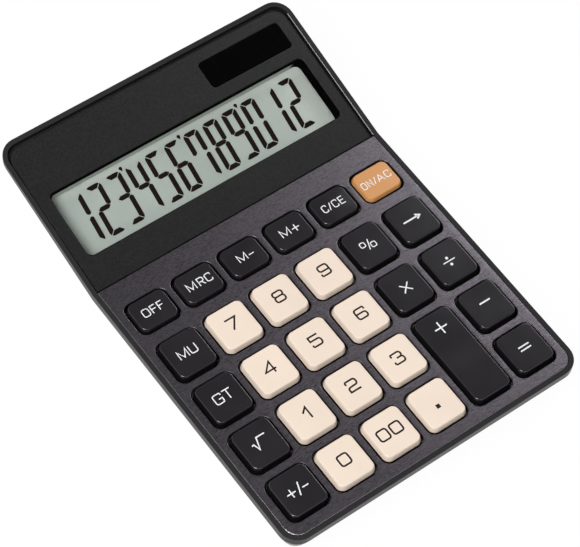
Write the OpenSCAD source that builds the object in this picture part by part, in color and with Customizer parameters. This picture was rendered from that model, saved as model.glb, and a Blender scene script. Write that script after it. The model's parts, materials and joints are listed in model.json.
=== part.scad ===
// Desk calculator: a flat key deck with a tilted display section behind it.
// +X is to the right, +Y to the back, +Z up; the origin lies under the middle
// of the case, on the surface that the rubber feet stand on.

/* [Case] */
// Width across the rim
case_w = 121.4; // [110:0.2:134]
// Length from the front rim to the back rim, seen from above
case_l = 173.6; // [160:0.2:190]
// Length of the flat key deck, from the front rim to the fold
deck_l = 113.6; // [102:0.2:124]
// Height of the key deck above the table
deck_h = 14.6; // [13.2:0.1:18]
// Angle of the display section to the key deck
display_tilt = 13.5; // [11:0.5:17]
// Radius of the case corners, seen from above
corner_r = 7; // [5:0.5:10]
// Width of the bare rim round the key deck and the display
rim_w = 1.75; // [1.4:0.05:2.4]
// Height of the upright band under the rim of the key deck
band_h = 3.1; // [2.6:0.1:3.4]
// Height of the upright band at the back of the display section
band_back_h = 1.7; // [1.4:0.1:3]
// Thickness of the case walls
wall = 1.8; // [1.5:0.1:2]
// Thickness of the ceiling that carries the deck plate and the display panel
ceiling_t = 1.6; // [1.4:0.1:1.8]
// Height of the knee in the side walls under the key deck
knee_h = 6; // [5.5:0.1:6.5]
// Height of the knee in the side walls at the back
knee_back_h = 12; // [10:0.5:14]
// Lean of the side walls between the band and the knee
flank_lean = 21.5; // [18:0.5:24]
// Distance of the flat base from the outline of the rim
base_inset = 9.5; // [9:0.1:10]
// Radius of the corners of the flat base
base_r = 2; // [1.5:0.1:3]
// Distance of the floor's edge inside the lower case from the edge of the flat base
floor_inset = 1.1; // [0.8:0.1:1.4]
// Height of the stiffening ribs on the floor of the lower case
rib_h = 0.8; // [0.6:0.1:1]
// Width of the stiffening ribs
rib_w = 1.2; // [0.8:0.1:1.6]
// Height of the locating lip on the lower case
lip_h = 0.8; // [0.5:0.1:1]
// Clearance between the locating lip and the upper case
lip_gap = 0.1; // [0.05:0.05:0.15]

/* [Deck plate] */
// Thickness of the metal deck plate
plate_t = 0.8; // [0.6:0.1:1]
// Width of the bright chamfer round the deck plate
plate_chamfer = 0.3; // [0.1:0.05:0.4]
// Gap between the deck plate and the rim
plate_gap = 0.15; // [0.05:0.05:0.3]

/* [Keys] */
// Distance from the inner edge of the rim to the outer columns of keys
key_side = 3.95; // [3.6:0.05:5]
// Distance from the front rim to the front row of keys
key_front = 7; // [6:0.1:8]
// Distance from the top row of keys to the fold
key_behind = 10.3; // [10:0.05:12]
// Space between two keys in a row
key_space_x = 4; // [3.6:0.1:4.6]
// Space between two rows of keys
key_space_y = 4.6; // [4.2:0.1:5.2]
// Space between the top row and the row below it
top_row_space = 6.4; // [6:0.05:7.4]
// Depth of a key top in the top row
small_key_d = 12.1; // [11.4:0.1:12.6]
// Radius of the key corners, seen from above
key_r = 2.5; // [2:0.1:3.5]
// Height of the key tops above the deck
key_rise = 1.9; // [1.6:0.1:3]
// Height of the tops of the lower keys in the top row
top_key_rise = 1.2; // [1:0.1:2.4]
// Radius of the rounded edge of a key top
key_edge_r = 0.4; // [0.2:0.05:0.6]
// How much wider each side of a key is at its foot than at its top
key_draft = 0.15; // [0:0.05:0.25]
// Gap between a key's foot and its opening in the deck
key_gap = 1; // [0.6:0.05:1.1]
// Thickness of the shell of a key cap
key_shell = 1.2; // [0.9:0.1:1.5]
// Travel of a key when it is pressed
key_travel = 1.5; // [1:0.1:1.6]
// Thickness of the wings that hold a key under the ceiling
wing_t = 1.2; // [0.9:0.1:1.4]
// Gap between the wings of two keys in a row
wing_gap = 0.4; // [0.3:0.05:0.6]
// Size of the square plunger under a key
plunger_w = 5; // [4:0.1:6]
// Reach of the plungers below the wings
plunger_drop = 0.4; // [0.2:0.1:0.6]

/* [Display] */
// Thickness of the display panel
panel_t = 1.6; // [1.2:0.1:2]
// Depth of the display panel below the rim
panel_recess = 1.1; // [0.8:0.1:1.4]
// Gap at the sides of the display panel
panel_gap = 0.6; // [0.3:0.05:0.9]
// Gap behind the display panel
panel_back_gap = 1.1; // [0.6:0.05:1.4]
// Gap between the display panel and the fold
panel_front_gap = 0.4; // [0.2:0.05:0.6]
// Distance from the inner edge of the rim to the main window
window_side = 5.1; // [4.6:0.1:8]
// Distance of the main window from the fold
window_from_fold = 12.2; // [12:0.1:13]
// Distance between the main window and the solar window
window_space = 4.9; // [4.4:0.1:6]
// Corner radius of the main window
window_r = 2.4; // [1:0.1:3.5]
// Depth of the display glass below the panel's face
glass_depth = 6.1; // [5.6:0.1:6.3]
// Thickness of the clear pane over the display glass
pane_t = 1; // [0.8:0.1:1.2]
// Thickness of the display glass
glass_t = 2.4; // [2:0.1:2.6]
// Reach of the pane and the glass past the window on each side
glass_margin = 1.5; // [1:0.1:1.6]
// Length of the glass ledge that the ribbon is bonded to
glass_ledge = 2.6; // [2:0.1:3]
// Thickness of the frame that holds the glass
holder_t = 1.2; // [1:0.1:1.4]
// Distance of that frame from the edge of the glass
holder_inset = 2.5; // [2:0.1:3]
// Width of the bars of that frame
holder_bar = 3; // [2:0.1:4]
// Thickness of the flat ribbon
ribbon_t = 0.2; // [0.1:0.05:0.3]
// Width of the flat ribbon
ribbon_w = 24; // [16:0.5:30]
// Length of the ribbon that is bonded to the board and to the glass
ribbon_lap = 2.2; // [1.8:0.1:2.4]

/* [Solar cell] */
// Width of the solar window
solar_w = 34.8; // [30:0.1:38]
// Length of the solar window along the panel
solar_l = 10.9; // [9:0.1:11.4]
// Distance from the solar window to the inner edge of the back rim
solar_back = 5.55; // [5:0.05:7]
// Corner radius of the solar window
solar_r = 1.6; // [0.8:0.1:3]
// Gap round the solar window
solar_gap = 0.1; // [0.05:0.05:0.15]
// Thickness of the solar cell
cell_t = 1; // [0.8:0.1:1.2]
// Reach of the solar cell past its window on each side
cell_margin = 0.4; // [0.2:0.1:0.8]
// Gap round the solar cell
cell_gap = 0.2; // [0.1:0.05:0.3]

/* [Inside] */
// Thickness of the main board
board_t = 1.6; // [1.2:0.1:1.6]
// Distance of the main board from the outline of the rim
board_inset = 6.2; // [6:0.1:8]
// Distance between the main board and the fold
board_behind = 2.4; // [2:0.1:3]
// Corner radius of the main board
board_r = 1.5; // [1:0.1:3]
// Diameter of the sealed chip under the main board
chip_d = 14; // [10:0.5:15]
// Height of the sealed chip
chip_h = 1.2; // [0.9:0.1:1.2]
// Thickness of the sheet of the rubber mat
mat_t = 1; // [0.8:0.1:1.2]
// Distance of the rubber mat from the edges of the board
mat_inset = 1; // [0.6:0.1:1.6]
// Diameter of a rubber dome at its foot
dome_d = 10; // [8:0.2:10.4]
// Diameter of a rubber dome at its top
dome_top_d = 6; // [5:0.2:7]
// Wall of a rubber dome
dome_wall = 0.8; // [0.6:0.1:1]
// Height that is left of a rubber dome under a pressed key
dome_squashed = 0.7; // [0.5:0.1:0.9]
// Diameter of the posts that hold the main board
post_d = 4.2; // [3.8:0.1:4.6]
// Distance from the top row of keys to the posts behind it
post_behind = 3.6; // [3.4:0.1:4]
// Diameter of the supports under the main board
support_d = 4; // [3:0.1:4.4]
// Diameter of the posts for the case screws
boss_d = 5.4; // [5:0.1:5.6]
// Diameter of the bosses under those posts
lower_boss_d = 6.2; // [6:0.1:6.6]
// Distance from the fold to the front pair of case screws
boss_from_fold = 4.4; // [4:0.1:4.6]
// Distance from the flat base's back edge to the back pair of case screws
boss_from_back = 3.1; // [3:0.1:5]

/* [Screws] */
// Thread diameter of the case screws
screw_d = 2.2; // [2:0.1:2.5]
// Diameter of the heads of the case screws
screw_head_d = 4; // [3.6:0.1:4]
// Height of the heads of the case screws
screw_head_h = 1.2; // [1:0.1:1.4]
// Length of the case screws under the head
screw_l = 6.2; // [5.6:0.1:7]
// Thickness of the boss between a case screw's head and the post
screw_seat = 2; // [1.6:0.1:2.4]
// Thread diameter of the board screws
board_screw_d = 1.7; // [1.5:0.1:2]
// Diameter of the heads of the board screws
board_head_d = 3.5; // [3:0.1:4]
// Height of the heads of the board screws
board_head_h = 1; // [0.8:0.1:1.2]
// Length of the board screws under the head
board_screw_l = 4.4; // [4:0.1:4.6]
// Clearance between a screw and the hole that it passes through, on each side
screw_gap = 0.2; // [0.1:0.05:0.3]
// Space past the end of a screw in its hole
screw_end = 0.4; // [0.2:0.1:0.6]
// Width of the crossed slots in the screw heads
slot_w = 0.5; // [0.4:0.1:0.6]

/* [Battery] */
// Diameter of the button cell
battery_d = 11.6; // [9.5:0.1:12.5]
// Thickness of the button cell
battery_t = 3.1; // [2.6:0.1:3.2]
// Gap round the button cell
battery_gap = 0.3; // [0.2:0.05:0.5]
// Thickness of the ring round the button cell
ring_t = 1.4; // [1.2:0.1:2]
// Width of the bridges that hold the ring over the door opening
bridge_w = 5; // [4:0.5:6]
// Reach of those bridges past the door opening
bridge_reach = 2; // [1.5:0.1:2.4]
// Distance of the button cell from the middle of the case
battery_side = 24.3; // [20:0.1:28]
// Distance from the flat base's back edge to the battery door
door_from_back = 6; // [5:0.1:8]
// Width of the battery door
door_w = 24; // [22:0.2:28]
// Length of the battery door
door_l = 18; // [17:0.2:20]
// Gap round the battery door
door_gap = 0.3; // [0.2:0.05:0.4]
// Corner radius of the battery door
door_r = 1; // [0.5:0.1:2]
// Length of the grip grooves in the battery door
grip_l = 9; // [7:0.5:12]
// Width of a grip groove, and of the land beside it
grip_w = 0.8; // [0.6:0.1:1.2]
// Depth of a grip groove
grip_depth = 0.4; // [0.2:0.1:0.6]
// Width of the hinge tongues of the battery door
tongue_w = 4; // [3:0.1:5]
// Reach of the tongues over the floor of the case
tongue_l = 1.6; // [1.2:0.1:2]
// Thickness of the tongues
tongue_t = 0.9; // [0.7:0.1:1.2]
// Width of the latch of the battery door
latch_w = 6; // [4:0.1:8]
// Height of the latch above the inside of the door
latch_h = 2.4; // [1.8:0.1:3]
// Thickness of the latch
latch_t = 1; // [0.8:0.1:1.2]
// Distance of the latch from the back side of the door
latch_inset = 0.5; // [0.3:0.1:1]
// Thickness of the sheet metal contacts
contact_t = 0.3; // [0.2:0.05:0.4]
// Width of the contact across the top of the button cell
contact_w = 3; // [2:0.1:4]
// Diameter of the wires
wire_d = 0.9; // [0.7:0.1:1.1]
// Gap round a wire in a hole
wire_gap = 0.3; // [0.2:0.05:0.4]
// Distance between the two wires of a pair
wire_pitch = 2; // [1.6:0.1:3]
// Reach of the wires past the back edge of the board
wire_lap = 3; // [2:0.1:4]

/* [Feet] */
// Diameter of a rubber foot
foot_d = 9; // [7:0.5:11]
// Height of the base above the table
foot_h = 1.2; // [1:0.1:1.6]
// Depth of a foot's recess in the base
foot_recess = 0.6; // [0.4:0.1:0.8]
// Gap round a foot in its recess
foot_gap = 0.1; // [0.05:0.05:0.2]
// Bevel round the face that a foot stands on
foot_bevel = 0.3; // [0.1:0.1:0.5]
// Distance of a foot from the sides of the flat base
foot_side = 6; // [5.6:0.1:8]
// Distance of the front feet from the front of the flat base
foot_front = 7; // [6:0.1:9]
// Distance of the back feet from the back of the flat base
foot_back = 15; // [14:0.1:17]

/* [Hidden] */
$fn = 32;
// A hair's breadth, by which joined solids run into each other.
eps = 0.01;
// How far a cut runs past the surface that it opens.
over = 1;
// How deep a post is rooted in the ceiling.
root = 0.3;
// Play between pieces that lie loosely over each other.
play = 0.1;
// Straight runs in a quarter of the case's outline.
corner_steps = 8;

// Each key: node name, column, row, rows covered, colour.
cream = [0.94, 0.87, 0.78];
orange = [0.85, 0.55, 0.30];
black = [0.16, 0.15, 0.17];
KEYS = [
    ["key_off", 0, 0, 1, black], ["key_mrc", 1, 0, 1, black],
    ["key_m_minus", 2, 0, 1, black], ["key_m_plus", 3, 0, 1, black],
    ["key_clear", 4, 0, 1, black], ["key_on", 5, 0, 1, orange],
    ["key_mu", 0, 1, 1, black], ["key_7", 1, 1, 1, cream],
    ["key_8", 2, 1, 1, cream], ["key_9", 3, 1, 1, cream],
    ["key_percent", 4, 1, 1, black], ["key_back", 5, 1, 1, black],
    ["key_gt", 0, 2, 1, black], ["key_4", 1, 2, 1, cream],
    ["key_5", 2, 2, 1, cream], ["key_6", 3, 2, 1, cream],
    ["key_times", 4, 2, 1, black], ["key_divide", 5, 2, 1, black],
    ["key_root", 0, 3, 1, black], ["key_1", 1, 3, 1, cream],
    ["key_2", 2, 3, 1, cream], ["key_3", 3, 3, 1, cream],
    ["key_plus", 4, 3, 2, black], ["key_minus", 5, 3, 1, black],
    ["key_sign", 0, 4, 1, black], ["key_0", 1, 4, 1, cream],
    ["key_00", 2, 4, 1, cream], ["key_point", 3, 4, 1, cream],
    ["key_equals", 5, 4, 1, black],
];
CASE_NODES = [
    "upper_case", "lower_case", "deck_plate", "display_panel", "display_pane",
    "display_glass", "glass_holder", "glass_ribbon", "solar_window", "solar_cell",
    "solar_wires", "rubber_mat", "main_board", "board_parts", "board_screws",
    "case_screws", "rubber_feet", "battery_door", "button_cell",
    "contact_side", "contact_top", "battery_wires",
];

// Places along the case.
front_y = -case_l / 2;
back_y = case_l / 2;
fold_y = front_y + deck_l;
slope_l = (case_l - deck_l) / cos(display_tilt);

// Sizes of the keys: what the margins and the spaces leave of the deck.
columns = max([for (k = KEYS) k[1]]) + 1;
rows = max([for (k = KEYS) k[2]]);
key_w = (case_w - 2 * (rim_w + key_side) - (columns - 1) * key_space_x) / columns;
pitch_x = key_w + key_space_x;
key_d = (deck_l - key_front - key_behind - small_key_d - top_row_space
    - (rows - 1) * key_space_y) / rows;
pitch_y = key_d + key_space_y;
first_row_y = front_y + key_front + key_d / 2 + (rows - 1) * pitch_y;
top_row_y = fold_y - key_behind - small_key_d / 2;
function column_x(c) = (c - (columns - 1) / 2) * pitch_x;
function row_y(r) = r == 0 ? top_row_y : first_row_y - (r - 1) * pitch_y;

// Heights in the stack under the deck.
ceiling_z = deck_h - plate_t - ceiling_t;
wing_z = ceiling_z - wing_t;
plunger_z = wing_z - plunger_drop;
mat_top = plunger_z - key_travel - dome_squashed;
board_top = mat_top - mat_t;
board_h = board_top - board_t;
floor_z = foot_h + wall;
band_z = deck_h - band_h;

// Sizes of the windows: what the margins leave of the display panel.
window_w = case_w - 2 * (rim_w + window_side);
solar_mid = slope_l - rim_w - solar_back - solar_l / 2;
window_l = solar_mid - solar_l / 2 - window_space - window_from_fold;
window_mid = window_from_fold + window_l / 2;
solar_x = (window_w - solar_w) / 2;

// Levels in the display section, measured square to the rim plane.
panel_top_n = -panel_recess;
panel_foot_n = panel_top_n - panel_t;
display_ceiling_n = panel_foot_n - ceiling_t;
glass_top_n = panel_top_n - glass_depth;
pane_top_n = glass_top_n + pane_t;
glass_foot_n = glass_top_n - glass_t;
holder_foot_n = glass_foot_n - holder_t;

// Height of a plane that lies n below the rim plane of the display section.
function slope_z(y, n) = deck_h + n / cos(display_tilt) + (y - fold_y) * tan(display_tilt);
band_back_z = slope_z(back_y, -band_back_h);

// Places of the board and its fasteners.
board_w = case_w - 2 * board_inset;
board_front = front_y + board_inset;
board_back = fold_y - board_behind;
gap_y = (row_y(0) - small_key_d / 2 + row_y(1) + key_d / 2) / 2;
behind_keys_y = row_y(0) + small_key_d / 2 + post_behind;
board_posts = [for (x = [-2, 0, 2], y = [gap_y, behind_keys_y]) [x * pitch_x, y]];
support_places = [for (x = [-2, 0, 2], y = [1 : rows - 1]) [x * pitch_x, row_y(y) - pitch_y / 2]];

// Each case screw: its place, and the height where its boss meets its post.
boss_x = case_w / 2 - base_inset - boss_d;
case_screw_places = [for (x = [-boss_x, boss_x]) each [
    [x, fold_y + boss_from_fold, board_h],
    [x, back_y - base_inset - boss_from_back, knee_back_h]
]];
foot_x = case_w / 2 - base_inset - foot_side;
foot_places = [for (x = [-foot_x, foot_x]) each [
    [x, front_y + base_inset + foot_front], [x, back_y - base_inset - foot_back]
]];

// Places of the battery and of the wires.
battery_x = -battery_side;
battery_y = back_y - base_inset - door_from_back - door_l / 2;
battery_z = floor_z + 2 * play;
battery_top = battery_z + battery_t;
wire_z = floor_z + wire_d / 2 + play;
wire_end_y = board_back - wire_lap;
solar_wire_x = [for (side = [-1, 1]) solar_x - solar_w / 5 + side * wire_pitch / 2];
solar_wire_n = panel_foot_n - cell_t;
solar_wire_y = fold_y + solar_mid * cos(display_tilt) - solar_wire_n * sin(display_tilt);
solar_wire_z = deck_h + solar_mid * sin(display_tilt) + solar_wire_n * cos(display_tilt);

// A rectangle about the origin with true round corners.
module rounded(w, l, r) {
    square([w - 2 * r, l], center = true);
    square([w, l - 2 * r], center = true);
    for (x = [-1, 1], y = [-1, 1])
        translate([x * (w / 2 - r), y * (l / 2 - r)]) circle(r);
}

// Radius of the case's corners when its outline is drawn in by some distance.
function inner_r(inset) = max(corner_r - inset, base_r);

// The outline of the case from above, drawn in by some distance.
module case_plan(inset) {
    rounded(case_w - 2 * inset, case_l - 2 * inset, inner_r(inset));
}

// A side view, as points of [y, z], carried across the whole width.
module across(points) {
    rotate([90, 0, 90])
        linear_extrude(case_w + 2 * over, center = true) polygon(points);
}

// Puts children on the rim plane of the display section; Y then runs up the slope.
module on_slope() {
    translate([0, fold_y, deck_h]) rotate([display_tilt, 0, 0]) children();
}

// A slab on the display section between two depths.
module slope_slab(bottom_n, top_n) {
    on_slope() translate([0, 0, bottom_n]) linear_extrude(top_n - bottom_n) children();
}

// How far the side walls have leaned in at some depth under the band.
function lean_in(drop) = drop * tan(flank_lean);
knee_in = lean_in(band_z - knee_h);
knee_back_in = lean_in(band_back_z - knee_back_h);

// One quarter of a level's outline, about the middle of a corner.
function corner(x, y, r, start) = [for (i = [0 : corner_steps])
    [x + r * cos(start + 90 * i / corner_steps), y + r * sin(start + 90 * i / corner_steps)]];

// A level is [inset under the deck, height there, inset at the back, height there].
// Its outline lies flat under the deck and climbs evenly behind the fold.
function level_points(l) =
    let (
        rf = inner_r(l[0]), rb = inner_r(l[2]),
        xf = case_w / 2 - l[0], xb = case_w / 2 - l[2],
        yf = front_y + l[0], yb = back_y - l[2],
        flat = concat(
            corner(xf - rf, yf + rf, rf, -90), [[xf, fold_y]],
            corner(xb - rb, yb - rb, rb, 0), corner(rb - xb, yb - rb, rb, 90),
            [[-xf, fold_y]], corner(rf - xf, yf + rf, rf, 180)
        )
    )
    [for (p = flat) [
        p[0], p[1], l[1] + max(p[1] - fold_y, 0) / (back_y - fold_y) * (l[3] - l[1])
    ]];

// A closed form through levels, listed from the bottom to the top.
module loft(levels) {
    k = corner_steps + 1;
    n = 4 * k + 2;
    top = n * (len(levels) - 1);
    under_deck = concat([for (i = [0 : k]) i], [for (i = [3 * k + 1 : n - 1]) i]);
    behind_fold = [for (i = [k : 3 * k + 1]) i];
    polyhedron(
        points = [for (l = levels) each level_points(l)],
        faces = concat(
            [under_deck, behind_fold],
            [for (f = [under_deck, behind_fold])
                [for (i = [len(f) - 1 : -1 : 0]) f[i] + top]],
            [for (j = [0 : len(levels) - 2], i = [0 : n - 1], half = [0, 1])
                let (a = j * n + i, b = j * n + (i + 1) % n)
                half == 0 ? [a, a + n, b + n] : [a, b + n, b]]
        )
    );
}

// The level at the knee, drawn in by some distance and moved up by some height.
function knee_level(inset, up) =
    [knee_in + inset, knee_h + up, knee_back_in + inset, knee_back_h + up];

// The space under the ceiling of the deck and of the display section.
module under_ceiling() {
    step_y = fold_y + ceiling_t;
    past_y = back_y + over;
    across([
        [front_y - over, 0], [past_y, 0], [past_y, slope_z(past_y, display_ceiling_n)],
        [step_y, slope_z(step_y, display_ceiling_n)], [step_y, ceiling_z],
        [front_y - over, ceiling_z]
    ]);
}

// The outline of the deck plate, drawn in from the rim by a gap.
module deck_outline(gap) {
    intersection() {
        case_plan(rim_w + gap);
        translate([-case_w / 2, front_y]) square([case_w, deck_l - gap]);
    }
}

// The outline of the display panel's seat in the plane of the panel.
module seat_outline(side_gap, back_gap, front_gap) {
    w = case_w - 2 * (rim_w + side_gap);
    l = slope_l - rim_w - back_gap;
    r = corner_r - rim_w;
    translate([-w / 2, front_gap]) square([w, l - r - front_gap]);
    translate([-w / 2 + r, front_gap]) square([w - 2 * r, l - front_gap]);
    for (x = [-1, 1]) translate([x * (w / 2 - r), l - r]) circle(r);
}

module main_window(margin) {
    translate([0, window_mid])
        rounded(window_w + 2 * margin, window_l + 2 * margin, window_r);
}

module small_window(margin) {
    translate([solar_x, solar_mid])
        rounded(solar_w + 2 * margin, solar_l + 2 * margin, solar_r);
}

// Depth of a key's top and the place of its middle.
function key_top(k) = deck_h + (k[2] == 0 ? top_key_rise : key_rise) - eps;
function key_depth(k) = k[2] == 0 ? small_key_d : key_d + (k[3] - 1) * pitch_y;
function key_mid_y(k) = row_y(k[2]) - (k[3] - 1) * pitch_y / 2;

// The openings of all keys, wider than each key's foot by a gap.
module key_openings(gap) {
    grow = 2 * (key_draft + gap);
    for (k = KEYS)
        translate([column_x(k[1]), key_mid_y(k)])
            rounded(key_w + grow, key_depth(k) + grow, key_r + gap);
}

// One level of a key cap's outline.
module key_level(k, z, inset) {
    translate([0, 0, z]) linear_extrude(eps)
        rounded(key_w - 2 * inset, key_depth(k) - 2 * inset, key_r - inset, $fn = 24);
}

// A cap with a rounded top edge, hollow from below, with its wings and plungers.
module key(k) {
    d = key_depth(k);
    top = key_top(k);
    hollow_w = key_w - 2 * key_shell;
    hollow_top = top - key_shell;
    color(k[4]) translate([column_x(k[1]), key_mid_y(k)]) {
        difference() {
            union() {
                hull() {
                    key_level(k, ceiling_z - eps, -key_draft);
                    for (a = [0 : 30 : 90])
                        key_level(k, top - key_edge_r * (1 - sin(a)), key_edge_r * (1 - cos(a)));
                }
                translate([0, 0, wing_z]) linear_extrude(wing_t)
                    rounded(pitch_x - wing_gap, d + 2 * key_draft, key_r);
            }
            translate([0, 0, wing_z - over]) linear_extrude(hollow_top - wing_z + over)
                rounded(hollow_w, d - 2 * key_shell, key_r - key_shell);
        }
        for (y = plunger_places(k)) translate([0, y, plunger_z])
            linear_extrude(hollow_top - plunger_z + eps) {
                square(plunger_w, center = true);
                square([hollow_w + eps, key_shell], center = true);
            }
    }
}

// A long key has two plungers, one over each row that it covers.
function plunger_places(k) = k[3] == 1 ? [0] : [-pitch_y / 2, pitch_y / 2];

// The upper case: its top, its upright band and the flank down to the knee.
module upper_case() {
    rim_back_z = slope_z(back_y, 0);
    color([0.17, 0.16, 0.17]) {
        difference() {
            loft([knee_level(0, 0), [0, band_z, 0, band_back_z], [0, deck_h, 0, rim_back_z]]);
            intersection() {
                loft([
                    knee_level(wall + lean_in(over), -over), [wall, band_z, wall, band_back_z],
                    [wall, deck_h + over, wall, rim_back_z + over]
                ]);
                under_ceiling();
            }
            loft([knee_level(wall / 2, -over), knee_level(wall / 2, lip_h + lip_gap)]);
            translate([0, 0, deck_h - plate_t]) linear_extrude(plate_t + over) deck_outline(0);
            slope_slab(panel_foot_n, over) seat_outline(0, 0, 0);
            translate([0, 0, ceiling_z - over])
                linear_extrude(ceiling_t + 2 * over) key_openings(key_gap);
            slope_slab(display_ceiling_n - over, 0) main_window(0);
            slope_slab(panel_foot_n - cell_t, 0) small_window(cell_margin + cell_gap);
            for (x = solar_wire_x) translate([x, solar_wire_y, solar_wire_z - 2 * ceiling_t])
                cylinder(h = 3 * ceiling_t, d = wire_d + 2 * wire_gap);
        }
        window_well();
        board_post_row();
        case_posts();
    }
}

// Walls that stand down from the ceiling round the main window.
module window_well() {
    slope_slab(pane_top_n, display_ceiling_n + ceiling_t / 2) difference() {
        main_window(glass_margin);
        main_window(0);
    }
}

// The posts that the board is screwed to, between the wings of the keys.
module board_post_row() {
    for (p = board_posts) translate([p[0], p[1], board_top]) difference() {
        cylinder(h = ceiling_z - board_top + root, d = post_d);
        translate([0, 0, -eps])
            cylinder(h = board_screw_l - board_t + screw_end, d = board_screw_d);
    }
}

// The posts that take the case screws, each cut off at the ceiling over it.
module case_posts() {
    for (p = case_screw_places) intersection() {
        translate(p) difference() {
            cylinder(h = slope_z(back_y, 0), d = boss_d);
            translate([0, 0, -eps]) cylinder(h = screw_l - screw_seat + screw_end, d = screw_d);
        }
        translate([0, 0, root]) under_ceiling();
    }
}

// The lower case: a shallow tray from the flat base up to the knee, with a
// locating lip that stands up inside the upper case.
module lower_case() {
    lip_inset = wall / 2 + lip_gap;
    color([0.20, 0.19, 0.20]) {
        difference() {
            union() {
                difference() {
                    union() {
                        loft([base_level(0, foot_h), knee_level(0, 0)]);
                        loft([knee_level(lip_inset, -over), knee_level(lip_inset, lip_h)]);
                    }
                    loft([
                        base_level(floor_inset, floor_z), knee_level(wall, 0),
                        knee_level(wall, lip_h + over)
                    ]);
                }
                case_bosses();
                board_supports();
                floor_ribs();
            }
            for (p = foot_places) translate([p[0], p[1], foot_h - over])
                cylinder(h = foot_recess + over, d = foot_d + 2 * foot_gap);
            screw_holes();
            door_opening();
        }
        battery_well();
    }
}

// A level drawn in from the flat base by some distance.
function base_level(inset, z) = [base_inset + inset, z, base_inset + inset, z];

module case_bosses() {
    for (p = case_screw_places) translate([p[0], p[1], floor_z - eps])
        cylinder(h = p[2] - floor_z + eps, d = lower_boss_d);
}

module board_supports() {
    for (p = support_places) translate([p[0], p[1], floor_z - eps])
        cylinder(h = board_h - floor_z + eps, d = support_d);
}

// Shallow ribs that join the supports, across the case and along it, and end in its walls.
module floor_ribs() {
    end_inset = base_inset - floor_inset;
    rib_front = front_y + end_inset;
    translate([0, 0, floor_z - eps]) linear_extrude(rib_h + eps) {
        for (r = [1 : rows - 1]) translate([0, row_y(r) - pitch_y / 2])
            square([case_w - 2 * end_inset, rib_w], center = true);
        for (x = [-2, 0, 2]) translate([x * pitch_x, (rib_front + board_back) / 2])
            square([rib_w, board_back - rib_front], center = true);
    }
}

// A hole for the thread of each case screw, and a wider one below for its head.
module screw_holes() {
    for (p = case_screw_places) translate([p[0], p[1], 0]) {
        cylinder(h = p[2] + over, d = screw_d + 2 * screw_gap);
        cylinder(h = p[2] - screw_seat, d = screw_head_d + 3 * screw_gap);
    }
}

module door_outline(gap) {
    translate([battery_x, battery_y]) rounded(door_w + 2 * gap, door_l + 2 * gap, door_r);
}

module door_opening() {
    linear_extrude(floor_z + over) door_outline(door_gap);
}

// The ring that the button cell sits in, held by a bridge over the door opening.
module battery_well() {
    ring_d = battery_d + 2 * (battery_gap + ring_t);
    bridge_l = door_w + 2 * (door_gap + bridge_reach);
    translate([battery_x, battery_y, floor_z]) linear_extrude(battery_top - floor_z) difference() {
        union() {
            circle(d = ring_d);
            square([bridge_l, bridge_w], center = true);
        }
        circle(d = battery_d + 2 * battery_gap);
    }
}

module deck_plate() {
    color([0.42, 0.40, 0.43]) difference() {
        hull() {
            translate([0, 0, deck_h - plate_t]) linear_extrude(plate_t - plate_chamfer)
                deck_outline(plate_gap);
            translate([0, 0, deck_h - eps]) linear_extrude(eps)
                deck_outline(plate_gap + plate_chamfer);
        }
        translate([0, 0, deck_h - plate_t - over]) linear_extrude(plate_t + 2 * over)
            key_openings(key_gap);
    }
}

module display_panel() {
    color([0.22, 0.22, 0.22]) slope_slab(panel_foot_n, panel_top_n) difference() {
        seat_outline(panel_gap, panel_back_gap, panel_front_gap);
        main_window(0);
        small_window(0);
    }
}

module display_pane() {
    color([0.85, 0.9, 0.88, 0.4]) slope_slab(glass_top_n, pane_top_n)
        main_window(glass_margin);
}

module display_glass() {
    color([0.62, 0.66, 0.60]) slope_slab(glass_foot_n, glass_top_n)
        translate([0, window_mid - glass_ledge / 2])
            square([window_w + 2 * glass_margin, window_l + 2 * glass_margin + glass_ledge],
                center = true);
}

// An open frame under the glass.
module glass_holder() {
    w = window_w + 2 * (glass_margin - holder_inset);
    l = window_l + 2 * glass_margin - holder_inset / 2;
    color([0.85, 0.85, 0.82]) slope_slab(holder_foot_n, glass_foot_n)
        translate([0, window_mid + holder_inset / 4]) difference() {
            square([w, l], center = true);
            square([w - 2 * holder_bar, l - 2 * holder_bar], center = true);
        }
}

// A flat ribbon from the ledge of the glass down to the board, bent like an S.
module glass_ribbon() {
    ledge_s = window_from_fold - glass_margin - glass_ledge;
    glass_y = fold_y + ledge_s * cos(display_tilt) - glass_foot_n * sin(display_tilt);
    glass_z = deck_h + ledge_s * sin(display_tilt) + glass_foot_n * cos(display_tilt);
    end = [glass_y + ribbon_lap * cos(display_tilt), glass_z + ribbon_lap * sin(display_tilt)];
    bend_y = board_back + 2 * ribbon_lap;
    bend_z = board_top - 2 * ribbon_t;
    down = [0, -ribbon_t];
    up = [0, ribbon_t];
    start = [board_back - ribbon_lap, board_top];
    edge = [board_back + 4 * ribbon_t, board_top];
    color([0.75, 0.5, 0.2]) translate([pitch_x, 0, 0]) rotate([90, 0, 90])
        linear_extrude(ribbon_w, center = true) polygon([
            end, [glass_y, glass_z], [bend_y, bend_z], edge + up, start + up,
            start, edge, [bend_y, bend_z] + down, [glass_y, glass_z] + down, end + down
        ]);
}

module solar_window() {
    color([0.05, 0.05, 0.06]) slope_slab(panel_foot_n, panel_top_n) small_window(-solar_gap);
}

module solar_cell() {
    color([0.12, 0.07, 0.09]) slope_slab(panel_foot_n - cell_t, panel_foot_n)
        small_window(cell_margin);
}

// A round wire along straight runs, with a ball at each turn.
module wire(points, d) {
    for (i = [0 : len(points) - 2]) {
        run = points[i + 1] - points[i];
        translate(points[i]) rotate([0, acos(run[2] / norm(run)), atan2(run[1], run[0])])
            cylinder(h = norm(run), d = d, $fn = 16);
        if (i > 0) translate(points[i]) sphere(d = d, $fn = 16);
    }
}

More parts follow.
